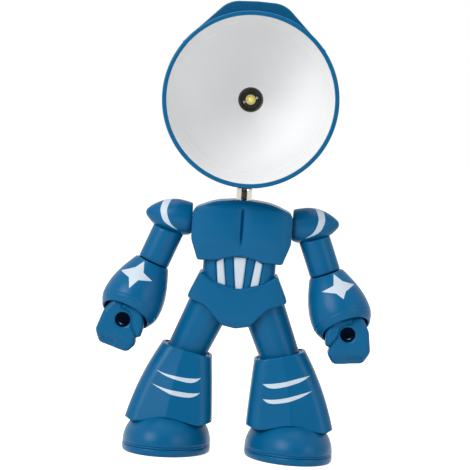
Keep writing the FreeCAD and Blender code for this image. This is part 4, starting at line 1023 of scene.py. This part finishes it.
@dataclass(frozen=True)
class ArmSizes:
    """Sizes of the left arm, which lies at +X."""

    shoulder_z: float = 112.0
    chest_half: float = 23.9
    pad_drop: float = 0.2
    pad_rise: float = 5.9
    pad: tuple = ((-1.5, 5.6), (-0.4, 7.0), (0.9, 7.8), (3.5, 8.3), (8.5, 8.5), (13.9, 7.3), (18.4, 4.8),
                  (21.3, 2.3), (22.2, 1.0), (22.4, 0.0))
    arm_top: tuple = (32.7, 0.0, 112.3)
    arm_splay: float = 21.5
    arm_length: float = 23.7
    arm: float = 7.5
    cuff_splay: float = 24.0
    cuff_pitch: float = 15.0
    cuff_top: float = 8.0
    cuff_swell: float = 22.0
    cuff: float = 14.6
    cuff_length: float = 31.0
    cuff_mouth: float = 12.3
    cuff_trim: float = 29.5
    cuff_slope: float = 0.23
    cuff_wall: float = 1.5
    cuff_ceiling: float = 13.0
    lip: float = 3.6
    lip_slope: float = 0.24
    seat_gap: float = 0.3
    hand_reach: float = 31.3
    hand_turn: tuple = (5.0, 17.0)
    hand_bore: float = 3.7
    hand_depth: float = 7.2
    wrist: float = 5.0
    fist: tuple = ((-6.8, 8.5, 3.0), (7.2, 8.5, 3.0), (10.2, 1.0, 5.0), (10.6, -8.8, 4.0), (7.0, -14.2, 3.2),
                   (-7.4, -14.2, 3.4), (-9.8, -9.3, 2.0), (-8.7, -6.3, 0.8), (-10.9, -4.6, 1.4), (-10.5, 1.0, 5.0))
    thumb: tuple = ((2.6, 8.2), (2.4, 5.4), (-0.8, 4.6), (-3.1, 2.9), (-4.1, 0.3), (-5.3, -1.9), (-7.3, -3.9),
                    (-8.7, -6.3))
    finger_grooves: tuple = (4.4, 7.6, 10.8)
    thumb_rise: float = 1.2
    thumb_crease: tuple = (0.45, 0.4)
    heel: float = 9.2
    heel_slope: float = 0.62
    heel_line: tuple = (0.25, 0.8)
    dimple: tuple = (2.9, -11.5, 2.5)
    dimple_depth: float = 0.9
    dimple_round: tuple = (1.35, 0.5)
    bore_edge: tuple = (0.4, 0.5)


# Pixels of the levelled photograph for the stars' corners, then angle and distance along the
# pad's axis for the crescents' edges
STAR_RIGHT = ((145.5, 268.7), (136.9, 274.9), (122.5, 279.4), (131.6, 285.0), (132.7, 295.4), (141.2, 287.0),
              (155.1, 287.4), (145.8, 279.7))
STAR_LEFT = ((337.0, 268.5), (337.4, 279.6), (326.0, 286.7), (340.4, 286.9), (348.1, 291.8), (350.0, 284.4),
             (358.5, 277.6), (346.2, 274.7))
CRESCENT_OUTER = ((-30, 11.6), (-12, 13.3), (8, 14.6), (46, 15.5), (71, 15.5), (95, 14.5), (115, 12.3), (133, 6.0))
CRESCENT_INNER = ((-30, 11.4), (-12, 10.9), (8, 10.9), (46, 12.1), (71, 12.4), (95, 11.3), (115, 9.3), (133, 5.9))


class Arm(Limb):
    """One arm: shoulder pad and upper arm, cuff, and fist, each on its own body."""

    def __init__(self, finishes: dict, side: Side, sizes: ArmSizes = ArmSizes()) -> None:
        """Keeps the side and works out the elbow."""
        super().__init__(finishes, side, sizes)
        self.arm_down = down(sizes.arm_splay)
        self.cuff_down = down(sizes.cuff_splay, sizes.cuff_pitch)
        self.elbow = np.array(sizes.arm_top) + self.arm_down * sizes.arm_length

    def pad_axis(self) -> Axis:
        """The shoulder pad's axis, whose angle zero points up."""
        s = self.sizes
        rise = math.radians(s.pad_rise)
        base = (s.chest_half + s.seat_gap, 0, s.shoulder_z - s.pad_drop)
        return Axis.of(base, (math.cos(rise), 0, math.sin(rise)), (0, 0, 1))

    def upper(self) -> None:
        """Shoulder pad, a horn turned about its axis, with its crescent, and the round upper arm."""
        s = self.sizes
        axis = self.pad_axis()
        knots = smooth_path(s.pad, 72)
        profile = np.vstack([[(s.pad[0][0], 0)], knots])
        grid = axis.revolve(profile, 128)
        grid[..., 0] = np.maximum(grid[..., 0], s.chest_half + s.seat_gap)
        body = f"arm_{self.side.word}"
        pad = self.put("shoulder_cap", grid, sharp=50)
        self.seat(pad, "blue", "blue_shell", f"shoulder_pad_{self.side.word}", body=body)
        outer, inner = smooth_path(CRESCENT_OUTER, 60), smooth_path(CRESCENT_INNER, 60)
        flat = between(outer, inner, 14)
        reach = np.interp(flat[..., 1], knots[:, 0], knots[:, 1])
        skin = [axis.point(flat[..., 1], reach + lift, np.radians(flat[..., 0])) for lift in (0.07, -0.12)]
        front, behind = skin
        closed = np.concatenate([front, behind[::-1]]).transpose(1, 0, 2)
        mark = self.put("shoulder_crescent", closed, sharp=50)
        self.seat(mark, "mark", "blue_shell", body=body)
        arm = self.put("arm_tube", self.tube(axis, knots))
        self.seat(arm, "blue", "blue_shell", f"upper_arm_{self.side.word}", body=body)

    def tube(self, pad: Axis, knots: Array) -> Array:
        """Grid of the upper arm, whose top end follows the under side of the pad.

        Each column starts where its distance from the pad's axis, with the depth counted half,
        equals the pad's radius; the sum closes in by repeated steps.
        """
        s = self.sizes
        axis = Axis.of(s.arm_top, self.arm_down)
        theta = np.linspace(0, 2 * math.pi, 112, endpoint=False)
        start = 0 * theta + 8.0
        for _ in range(16):
            away = axis.point(start, 0 * theta + s.arm, theta) - pad.base
            along = away @ pad.along
            across = (away - along[:, None] * pad.along) * [1, 0.5, 1]
            start = start + np.interp(along, knots[:, 0], knots[:, 1]) - 0.4 - np.linalg.norm(across, axis=1)
        start = np.clip(start, 2.0, 11.0)
        end = s.arm_length
        bar = [(0.0, s.arm - 0.9), (0.15, s.arm - 0.4), (0.5, s.arm - 0.1), (0.9, s.arm)]
        depth = [start * 0 + start.mean()] + [start + lead for lead, _ in bar]
        radius = [0.0] + [r for _, r in bar]
        depth += list(start + 0.9 + (end - 0.5 - start - 0.9) * np.linspace(0, 1, 24)[1:, None])
        radius += [s.arm] * 23
        for lead, r in ((0.3, s.arm - 0.06), (0.12, s.arm - 0.2), (0.0, s.arm - 0.45), (0.0, 0.0)):
            depth.append(0 * theta + end - lead)
            radius.append(r)
        depth, radius = np.stack(depth), np.array(radius)[:, None] + 0 * theta
        return axis.point(depth, radius, theta + 0 * depth)

    def cuff_radius(self, s: Array) -> Array:
        """Radius at distance s below the elbow: a quarter sine wave, then a gentle square-law fall."""
        z = self.sizes
        swell = z.cuff_top + (z.cuff - z.cuff_top) * np.sin(math.pi / 2 * np.clip(s, 0, z.cuff_swell) / z.cuff_swell)
        fall = np.clip((s - z.cuff_swell) / (z.cuff_length - z.cuff_swell), 0, None)
        return swell - (z.cuff - z.cuff_mouth) * fall ** 2

    def cuff(self) -> None:
        """Barrel shaped cuff with a turned-in lip at a slanted mouth, open below."""
        s = self.sizes
        axis = Axis.of(self.elbow, self.cuff_down)
        theta = np.linspace(0, 2 * math.pi, 160, endpoint=False)
        ahead = np.cos(theta)
        mouth = s.cuff_trim - s.cuff_slope * self.cuff_radius(np.array(s.cuff_trim)) * ahead
        ring = axis.point(0 * theta, 0 * theta + s.cuff_top, theta) - self.elbow
        start = (s.seat_gap - ring @ self.arm_down) / (self.cuff_down @ self.arm_down)
        share = np.linspace(0, 1, 110)[:, None]
        along = start + (mouth - 0.5 - start - 0.5) * share + 0.5
        tuck = np.maximum(along - (mouth - s.lip), 0) * s.lip_slope
        soft = self.bell(along - mouth + s.lip, 0.3, 0.4)
        outer = self.cuff_radius(along) - tuck - soft
        end = outer[-1]
        turn = np.radians(np.linspace(0, 180, 9))[1:, None]
        lip_r = end - s.cuff_wall / 2 + s.cuff_wall / 2 * np.cos(turn)
        lip_s = mouth - 0.5 + 0.6 * np.sin(turn)
        inner_s = mouth - 0.6 + (s.cuff_ceiling - mouth) * np.linspace(0, 1, 20)[:, None]
        inner_r = np.minimum(self.cuff_radius(inner_s) - s.cuff_wall, end - s.cuff_wall + 0 * inner_s)
        inner_r = np.maximum(inner_r, s.cuff_mouth - s.cuff_wall - 0.6)
        top_s = np.stack([start, start, start + 0.12, start + 0.4])
        top_r = 0 * top_s + np.array([0, s.cuff_top - 0.6, s.cuff_top - 0.2, s.cuff_top])[:, None]
        depth = np.vstack([top_s, along, lip_s, inner_s, inner_s[-1:]])
        radius = np.vstack([top_r, outer, lip_r, inner_r, 0 * inner_r[-1:]])
        grid = axis.point(depth, radius, theta + 0 * depth)
        cuff = self.put("cuff", grid, sharp=40)
        self.seat(cuff, "blue", "blue_shell", f"gauntlet_{self.side.word}", body=f"forearm_{self.side.word}")
        self.star(cuff)

    def star(self, cuff: bpy.types.Object) -> None:
        """Four pointed star whose edges bow inwards, as rings from its middle to its outline."""
        pixels = np.array(STAR_LEFT if self.side is Side.LEFT else STAR_RIGHT)
        corners = PHOTO.spot(pixels, self.elbow[1] - self.sizes.cuff - 3)
        share = np.linspace(0, 1, 14, endpoint=False)[:, None]
        edges = [a + (b - a) * share for a, b in zip(corners, np.roll(corners, -1, 0))]
        outline = np.vstack(edges)
        middle = corners[1::2].mean(0)
        rings = middle + (outline - middle) * np.linspace(0, 1, 14)[:, None, None]
        rings = np.concatenate([rings, rings[:, :1]], 1)
        mark = sheet(f"cuff_star_{self.side.word}", upright(rings, MARK_START))
        lay_on(mark, cuff)
        self.seat(mark, "mark", "blue_shell", body=f"forearm_{self.side.word}")

    @staticmethod
    def bell(distance: Array, depth: float, width: float) -> Array:
        """Bell curve of a distance, for fine lines."""
        return depth * np.exp(-(distance / width) ** 2)

    def fist_front(self, u: Array, v: Array) -> Array:
        """Front face of the fist in its own frame: flat, with a sloping heel, a thumb and a dimple.

        The heel falls back below a line. The thumb rises beyond a crease, a curve from which its
        height follows the distance by a smooth step. The dimple is a rounded trough in the heel,
        and the edge of the bore falls back by a bell curve.
        """
        s = self.sizes
        depth = 0 * u - s.hand_depth
        curve = smooth_path(s.thumb, 70)
        near = np.min(np.hypot(u[..., None] - curve[:, 0], v[..., None] - curve[:, 1]), -1)
        order = np.argsort(curve[:, 1])
        beyond = u < np.interp(v, curve[order, 1], curve[order, 0])
        lobe = np.where(beyond & (v > s.thumb[-1][1] - 0.4), smoothstep(0.0, 1.3, near), 0.0)
        crease = self.bell(near, *s.thumb_crease)
        heel = s.heel_slope * np.maximum(-v - s.heel, 0) + self.bell(v + s.heel, *s.heel_line)
        across, up, half = s.dimple
        pill = np.hypot(np.maximum(np.abs(u - across) - half, 0), v - up)
        dimple = s.dimple_depth * smoothstep(*s.dimple_round, pill)
        rim = self.bell(np.hypot(u, v) - s.hand_bore, *s.bore_edge)
        return depth + heel - s.thumb_rise * lobe + crease + dimple + rim

    def hand(self) -> None:
        """Fist round a bore that runs front to back, with finger grooves, and its wrist."""
        s = self.sizes
        outline = rounded(s.fist, step=0.28, turn=4)
        away = np.arctan2(outline[:, 1], outline[:, 0])
        bore = np.stack([np.cos(away), np.sin(away)], 1) * s.hand_bore
        back = lambda u, v: s.hand_depth - np.maximum(-v - 8.0, 0) * 0.3
        wall = wall_profile(2 * s.hand_depth, 2.3, 2.4, grooves=s.finger_grooves)
        flat = housing(outline, self.fist_front, back, wall, rings=64, inner=bore)
        turn = math.radians(s.hand_turn[0] if self.side is Side.LEFT else s.hand_turn[1])
        centre = self.elbow + self.cuff_down * s.hand_reach
        out = np.array([math.cos(turn), 0, math.sin(turn)])
        rise = np.array([-math.sin(turn), 0, math.cos(turn)])
        grid = centre + flat[..., :1] * out + flat[..., 1:2] * [0, 1, 0] + flat[..., 2:] * rise
        fist = self.put("fist", grid, wrap_rows=True, sharp=50)
        body = f"hand_{self.side.word}"
        self.seat(fist, "blue", "blue_shell", f"hand_{self.side.word}", body=body)
        top = s.cuff_ceiling + s.seat_gap
        length = s.hand_reach - s.cuff_ceiling - s.hand_bore - 1.5
        wrist = rounded([(0, 0, 0), (0, s.wrist, 0.5), (length, s.wrist, 0), (length, 0, 0)], closed=False)
        wrist = Axis.of(self.elbow + self.cuff_down * top, self.cuff_down).revolve(wrist, SMALL)
        self.seat(self.put("wrist", wrist), "blue", "blue_shell", body=body)

    def build(self) -> None:
        """Builds and dresses the arm."""
        self.upper()
        self.cuff()
        self.hand()


@dataclass(frozen=True)
class LegSizes:
    """Sizes of the left leg, which lies at +X.

    Tuples of three from levels to ridge hold one value for each level of the boot, and trim holds
    the X and Z of a point on the slanted top and its slope. The tables of the sole and dome hold
    (share of the foot's ellipse, height), with the height from the ground in sole_side, from the
    bead's top in dome_bead and from the sole's top in the others.
    """

    hip: tuple = (12.9, 0.0, 71.5)
    ball: float = 9.2
    thigh_splay: float = 22.8
    thigh_top: float = 10.2
    thigh_bottom: float = 9.3
    thigh_length: float = 31.0
    levels: tuple = (14.0, 34.0, 54.0)
    inner_x: tuple = (8.2, 9.3, 10.9)
    outer_x: tuple = (50.4, 43.8, 33.3)
    front_y: tuple = (-21.0, -17.0, -13.0)
    back_y: tuple = (18.0, 15.0, 13.0)
    corner: float = 8.0
    ridge: tuple = (4.3, 3.2, 1.2)
    ridge_share: float = 0.52
    ridge_round: float = 2.6
    trim: tuple = (34.2, 52.3, 12.5)
    wall: float = 1.6
    top_depth: float = 0.15
    rear_edge: float = 14.0
    wave: tuple = ((0.0, 15.9), (0.06, 15.2), (0.12, 14.7), (0.19, 14.8), (0.29, 15.8), (0.42, 17.2), (0.53, 17.7),
                   (0.63, 17.2), (0.72, 16.2), (0.82, 15.2), (0.91, 15.0), (0.965, 15.8), (1.0, 16.1))
    foot: tuple = (29.4, -2.0)
    foot_half: tuple = (20.6, 26.5)
    foot_top: float = 22.0
    sole: float = 3.5
    bead: float = 1.1
    toe_out: float = 15.0
    sole_side: tuple = ((0, 0), (0.95, 0), (0.975, 0.12), (0.992, 0.5), (1.0, 1.2), (1.004, 2.2))
    sole_edge: tuple = ((1.002, -0.35), (0.994, -0.1), (0.984, -0.02), (0.93, 0), (0, 0))
    dome_foot: tuple = ((0, 0.05), (0.93, 0.05), (0.982, 0.05), (0.996, 0.25), (1.0, 0.5))
    dome_bead: tuple = ((0.998, -0.3), (0.99, -0.12), (0.986, -0.02), (0.992, 0.06))


# Pixels of the upper and lower edge of each slash, the upper slash first
SLASHES = {
    Side.RIGHT: (
        (((164.9, 376.0), (174.0, 379.0), (184.7, 380.8), (195.3, 382.2), (206.0, 382.4), (210.8, 381.3)),
         ((164.9, 376.0), (174.0, 380.9), (184.7, 384.2), (198.5, 386.8), (206.0, 385.4), (210.8, 381.3))),
        (((161.2, 389.9), (174.0, 393.6), (184.7, 395.4), (198.5, 397.0), (206.0, 397.0), (210.8, 396.3)),
         ((161.2, 389.9), (174.0, 396.2), (184.7, 400.0), (198.5, 401.5), (206.0, 399.9), (210.8, 396.3)))),
    Side.LEFT: (
        (((320.3, 372.0), (309.7, 374.9), (295.0, 379.5), (283.9, 382.0), (277.2, 382.9), (272.9, 383.3)),
         ((320.3, 372.0), (311.2, 378.4), (296.5, 383.9), (285.9, 386.6), (278.4, 386.4), (272.9, 383.3))),
        (((323.5, 386.8), (310.8, 391.0), (296.1, 395.5), (285.0, 397.8), (278.2, 398.2), (273.9, 398.2)),
         ((323.5, 386.8), (313.9, 393.0), (300.8, 398.6), (287.0, 401.7), (279.4, 401.5), (273.9, 398.2)))),
}


class Leg(Limb):
    """One leg: thigh and flared boot, and the dome foot under it."""

    def __init__(self, finishes: dict, side: Side, sizes: LegSizes = LegSizes()) -> None:
        """Keeps the side and the sizes and names the body."""
        super().__init__(finishes, side, sizes)
        self.body = f"leg_{side.word}"

    def thigh(self) -> None:
        """Thigh: a ball at the hip that runs into a slightly tapered bar."""
        s = self.sizes
        ball = [(-s.ball * math.cos(a), s.ball * math.sin(a)) for a in np.radians(np.linspace(0, 84, 16))]
        bar = rounded([(-0.6, s.ball - 0.1, 0), (0.8, s.thigh_top, 1.0), (s.thigh_length, s.thigh_bottom, 0),
                       (s.thigh_length, 0, 0)], closed=False, step=1.2)
        grid = Axis.of(s.hip, down(s.thigh_splay)).revolve(np.vstack([ball, bar]), 112)
        self.seat(self.put("thigh_bar", grid, sharp=50), "blue", "blue_shell", f"thigh_{self.side.word}")

    def section(self, z: float, distance: float = 0.0, count: int = 320) -> Array:
        """Level section of the boot at height z, drawn in, as evenly spaced points from the ridge.

        Each size is the quadratic through its values at the three levels.
        """
        s = self.sizes
        at = lambda values: float(np.polyval(np.polyfit(s.levels, values, 2), z))
        inner, outer, front, back, proud = (at(v) for v in (s.inner_x, s.outer_x, s.front_y, s.back_y, s.ridge))
        ridge = inner + (outer - inner) * s.ridge_share
        path = rounded([(ridge, front, s.ridge_round), (outer, front + proud, s.corner), (outer, back, s.corner),
                        (inner, back, s.corner), (inner, front + proud, s.corner)], step=0.5, turn=5)
        if distance:
            path = inset(path, distance)
        loop = np.vstack([path, path[:1]])
        walk = np.concatenate([[0], np.cumsum(np.linalg.norm(np.diff(loop, axis=0), axis=1))])
        want = np.linspace(0, walk[-1], count, endpoint=False)
        return np.stack([np.interp(want, walk, loop[:, 0]), np.interp(want, walk, loop[:, 1])], 1)

    def skin(self, heights: Array, distance: float) -> Array:
        """Points of the boot's wall at one height per column, from a stack of fine sections."""
        levels = np.linspace(8, 60, 105)
        stack = np.stack([self.section(z, distance) for z in levels])
        place = np.clip((heights - levels[0]) / (levels[1] - levels[0]), 0, len(levels) - 1.001)
        low = place.astype(int)
        column = np.arange(heights.shape[-1])
        share = (place - low)[..., None]
        flat = stack[low, column] * (1 - share) + stack[low + 1, column] * share
        return np.concatenate([flat, heights[..., None]], -1)

    def hem(self, x: Array, y: Array) -> Array:
        """Height of the boot's lower edge: level behind, and a wave across the front."""
        s = self.sizes
        share = (x - s.inner_x[0]) / (s.outer_x[0] - s.inner_x[0])
        wave = smooth_path(s.wave, 200)
        front = smoothstep(4.0, -14.0, y)
        return s.rear_edge + front * (np.interp(share, wave[:, 0], wave[:, 1]) - s.rear_edge)

    def boot(self) -> None:
        """Flared boot: wall with a slanted open top, a wavy hem, and inner walls at both ends."""
        s = self.sizes
        trim_x, trim_z, slope = s.trim
        count = 320
        top = np.full(count, 50.0)
        low = np.full(count, s.levels[0])
        for _ in range(6):
            top = trim_z + math.tan(math.radians(slope)) * (self.skin(top[None], 0)[0, :, 0] - trim_x)
            edge = self.skin(low[None], 0)[0]
            low = self.hem(edge[:, 0], edge[:, 1])
        rim = 0.5
        share = np.linspace(0, 1, 70)[:, None]
        outer = self.skin(low + rim + (top - low - 2 * rim) * share, 0)
        turn = np.linspace(0, math.pi, 7)[1:-1]
        half = s.wall / 2
        over = [self.skin((top - rim + rim * math.sin(a))[None], half - half * math.cos(a)) for a in turn]
        under = [self.skin((low + rim - rim * math.sin(a))[None], half - half * math.cos(a)) for a in turn[::-1]]
        down_in = self.skin(top - rim - s.top_depth * np.linspace(0, 1, 6)[:, None], s.wall)
        up_in = self.skin(low + rim + (s.foot_top + 3 - s.levels[0]) * np.linspace(1, 0, 6)[:, None], s.wall)
        middle = lambda row: (row * 0 + row.mean(0))[None]
        rows = [middle(up_in[0]), up_in] + under + [outer] + over + [down_in, middle(down_in[-1])]
        boot = self.put("boot_shell", np.concatenate(rows), sharp=50)
        self.seat(boot, "blue", "blue_shell", f"boot_{self.side.word}")
        for name, lines in zip(("upper", "lower"), SLASHES[self.side]):
            edges = [PHOTO.spot(smooth_path(line, 60), -16) for line in lines]
            flat = between(*edges, rows=8)
            mark = sheet(f"boot_slash_{name}_{self.side.word}", upright(flat, MARK_START))
            lay_on(mark, boot)
            self.seat(mark, "mark", "blue_shell")

    def foot(self) -> None:
        """Foot: a dome on a sole with rounded edges, both drawn round one turned ellipse."""
        s = self.sizes
        theta = np.linspace(0, 2 * math.pi, 160, endpoint=False)
        rise = s.foot_top - s.sole
        step = s.sole + s.bead
        dome = [(math.cos(a), step + (rise - s.bead) * math.sin(a)) for a in np.radians(np.linspace(1, 90, 44))]
        shell = [(r, s.sole + z) for r, z in s.dome_foot] + [(r, step + z) for r, z in s.dome_bead] + dome
        sole = list(s.sole_side) + [(r, s.sole + z) for r, z in s.sole_edge]
        turn = math.radians(s.toe_out)
        body = f"foot_{self.side.word}"
        for name, profile, node in (("foot_dome", shell, "foot_shell"), ("foot_base", sole, "foot_sole")):
            share, z = (np.array(v, float)[:, None] for v in zip(*profile))
            u = share * s.foot_half[0] * np.cos(theta)
            v = share * s.foot_half[1] * np.sin(theta)
            x = s.foot[0] + u * math.cos(turn) - v * math.sin(turn)
            y = s.foot[1] + u * math.sin(turn) + v * math.cos(turn)
            grid = np.stack([x, y, z + 0 * x], -1)
            self.seat(self.put(name, grid, sharp=60), "blue", "blue_shell", f"{node}_{self.side.word}", body=body)

    def build(self) -> None:
        """Builds and dresses the leg."""
        self.thigh()
        self.boot()
        self.foot()


# Height, radius and rounding of each corner, from the flange up the outside and down the bore
NECK_PROFILE = ((81.3, 3.2, 0), (81.3, 4.4, 0.1), (82.7, 4.4, 0.1), (82.7, 3.8, 0), (128.4, 3.8, 0.3),
                (128.4, 3.2, 0.1), (100.0, 3.2, 0))


class Neck(Part):
    """Chrome neck tube."""

    body = "neck"

    def build(self) -> None:
        """Tube with a rounded top edge and a small flange at its foot, open at both ends."""
        profile = rounded(NECK_PROFILE, step=1.5, turn=15)
        tube = Axis.of((0, 0, 0), (0, 0, 1)).revolve(profile, MEDIUM)
        self.seat(solid_from_grid("chrome_tube", tube, wrap_rows=True), "chrome", "chrome", "neck_tube")


class Studio:
    """Plain pale floor, soft lights and the photograph's camera."""

    camera_z = 0.1709
    distance = 1.1
    aim_x = -0.0031
    aim_z = 0.1056
    roll = 3.9
    view_width = 0.2256
    sensor = 36.0
    floor_half = 6.0
    floor_glow = 0.8
    world_light = 0.36
    card_half = 1.3
    card_y = -1.35
    card_z = (-0.35, 1.3)
    light_aim = (0.0, 0.0, 0.11)
    lights = {
        "key_light": ((-0.75, -0.85, 0.75), 0.7, 12.5),
        "fill_light": ((0.85, -0.7, 0.45), 0.6, 2.6),
        "top_light": ((0.0, 0.1, 1.1), 0.8, 4.0),
    }

    @staticmethod
    def plane(name: str, corners: Sequence[tuple], shader: Shader) -> bpy.types.Object:
        """Flat piece of the stage with its material."""
        mesh = bpy.data.meshes.new(name)
        mesh.from_pydata(corners, [], [(0, 1, 2, 3)])
        mesh.materials.append(shader.material)
        plane = link_new(name, mesh)
        return plane

    def floor(self) -> None:
        """Wide floor that keeps the lamp's shadow and reads as white to the camera."""
        shader = Shader("pale_floor")
        seen = shader.ray("Camera") + shader.ray("Glossy")
        shader.set(Base_Color=(0.8, 0.8, 0.8, 1), Roughness=0.9, Specular_IOR_Level=0.0)
        shader.set(Emission_Color=shader.blend(seen, (0, 0, 0), (1, 1, 1)), Emission_Strength=self.floor_glow)
        h = self.floor_half
        self.plane("studio_floor", [(-h, -h, 0), (h, -h, 0), (h, h, 0), (-h, h, 0)], shader)

    def world(self) -> None:
        """Even pale surroundings: white to the camera and to glossy rays, softer as light."""
        world = bpy.data.worlds.new("studio")
        bpy.context.scene.world = world
        world.use_nodes = True
        tree = NodeTree(world.node_tree)
        seen = tree.ray("Camera") + tree.ray("Transmission") + tree.ray("Glossy")
        strength = tree.node("ShaderNodeMapRange", inputs={"Value": seen, "To Min": self.world_light, "To Max": 1.0})
        light = tree.node("ShaderNodeBackground", inputs={"Color": (1, 1, 1, 1), "Strength": strength})
        tree.node("ShaderNodeOutputWorld", inputs={"Surface": light})

    def card(self) -> None:
        """Dark card behind the camera, which only reflections see: it gives chrome its dark middle."""
        shader = Shader("dark_cloth")
        cloth = shader.blend(shader.noise(9.0), (0.012, 0.012, 0.012), (0.018, 0.018, 0.018))
        shader.set(Base_Color=cloth, Roughness=1.0)
        x, y, (low, high) = self.card_half, self.card_y, self.card_z
        card = self.plane("dark_card", [(-x, y, low), (x, y, low), (x, y, high), (-x, y, high)], shader)
        card.visible_camera = card.visible_diffuse = card.visible_shadow = card.visible_transmission = False

    def lamp(self, name: str, place: tuple, size: float, power: float) -> None:
        """Soft square light that looks at the middle of the lamp."""
        data = bpy.data.lights.new(name, "AREA")
        data.shape = "RECTANGLE"
        data.size = data.size_y = size
        data.energy = power
        lamp = link_new(name, data)
        lamp.location = place
        look(lamp, np.array(self.light_aim) - np.array(place), 0.0)

    def camera(self) -> None:
        """Camera at the photograph's place, rolled so that the lamp leans clockwise."""
        data = bpy.data.cameras.new("photo_camera")
        data.sensor_width = self.sensor
        data.sensor_fit = "HORIZONTAL"
        data.lens = self.sensor * self.distance / self.view_width
        camera = link_new("photo_camera", data)
        camera.location = (0, -self.distance, self.camera_z)
        look(camera, (self.aim_x, self.distance, self.aim_z - self.camera_z), self.roll)
        bpy.context.scene.camera = camera

    def build(self) -> None:
        """Sets up the stage."""
        self.floor()
        self.card()
        self.world()
        self.camera()
        for name, (place, size, power) in self.lights.items():
            self.lamp(name, place, size, power)
        bpy.context.scene.view_settings.view_transform = "Standard"


def look(thing: bpy.types.Object, way: Sequence[float], roll: float) -> None:
    """Turns a camera or light to look along a vector, rolled by so many degrees.

    Args:
        thing: the object to turn.
        way: the direction to look along.
        roll: turn about that direction; positive tips the picture clockwise.
    """
    turn = Vector(way).to_track_quat("-Z", "Y").to_matrix()
    thing.rotation_euler = (turn @ Matrix.Rotation(math.radians(roll), 3, "Z")).to_euler()


FINISHES = {
    "blue": MouldedPlastic("blue_plastic", (0.0003, 0.099, 0.236), (0.0006, 0.110, 0.257), 0.32, gloss=0.15),
    # Painted shade: a darker copy of the blue plastic for the crest, whose front face the side lights leave in shade
    "deep_blue": MouldedPlastic("blue_plastic_painted_shade", (0.0003, 0.082, 0.192), (0.0006, 0.090, 0.207), 0.42, gloss=0.15),
    "white": MouldedPlastic("white_plastic", (0.755, 0.757, 0.762), (0.795, 0.797, 0.802), 0.42, 0.15),
    "mark": MouldedPlastic("white_paint", (0.50, 0.58, 0.66), (0.56, 0.64, 0.72), 0.5, 0.5),
    "dark": MouldedPlastic("dark_plastic", (0.035, 0.037, 0.03), (0.05, 0.05, 0.042), 0.35, 0.3),
    "board": MouldedPlastic("board_lacquer", (0.030, 0.034, 0.022), (0.042, 0.046, 0.030), 0.3),
    "button": MouldedPlastic("grey_button", (0.50, 0.53, 0.56), (0.54, 0.57, 0.60), 0.4),
    "pouch": MouldedPlastic("pouch_film", (0.45, 0.46, 0.48), (0.50, 0.51, 0.53), 0.25),
    "chrome": Metal("chrome_plate", (0.68, 0.63, 0.56), 0.10, 0.06),
    "steel": Metal("zinc_steel", (0.56, 0.56, 0.55), 0.34),
    "phosphor": Phosphor("phosphor", (0.75, 0.62, 0.10), (0.70, 0.72, 0.55), 2.2, (0, 0, 170.9)),
}

# Finishes of the nodes that no piece of this script stands for
CARRIED = {
    "steel": ("hinge_pin", "torso_screws", "rear_cap_screws", "neck_sleeve", "usb_socket", "led_leads",
              "led_heatsink", "shoulder_axle_left", "shoulder_axle_right"),
    "chrome": ("neck_tube",),
    "dark": ("neck_stop_ring", "neck_bush", "switch_body", "neck_knuckle"),
    "board": ("charge_board", "led_board"),
    "pouch": ("battery_pack",),
}


def dress(frame: dict, made: dict) -> None:
    """Gives every node that is carried over its finish; the rest are blue."""
    chosen = {node: finish for finish, nodes in CARRIED.items() for node in nodes}
    for name, node in frame["nodes"].items():
        node.data.materials.clear()
        node.data.materials.append(made[chosen.get(name, "blue")])


def main() -> None:
    """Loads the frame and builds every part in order."""
    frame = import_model()
    made = {name: finish.build() for name, finish in FINISHES.items()}
    dress(frame, made)
    Studio().build()
    parts = [Head(made), Torso(made), Neck(made)]
    parts += [kind(made, side) for side in Side for kind in (Arm, Leg)]
    for part in parts:
        part.build()


if __name__ == "__main__":
    main()
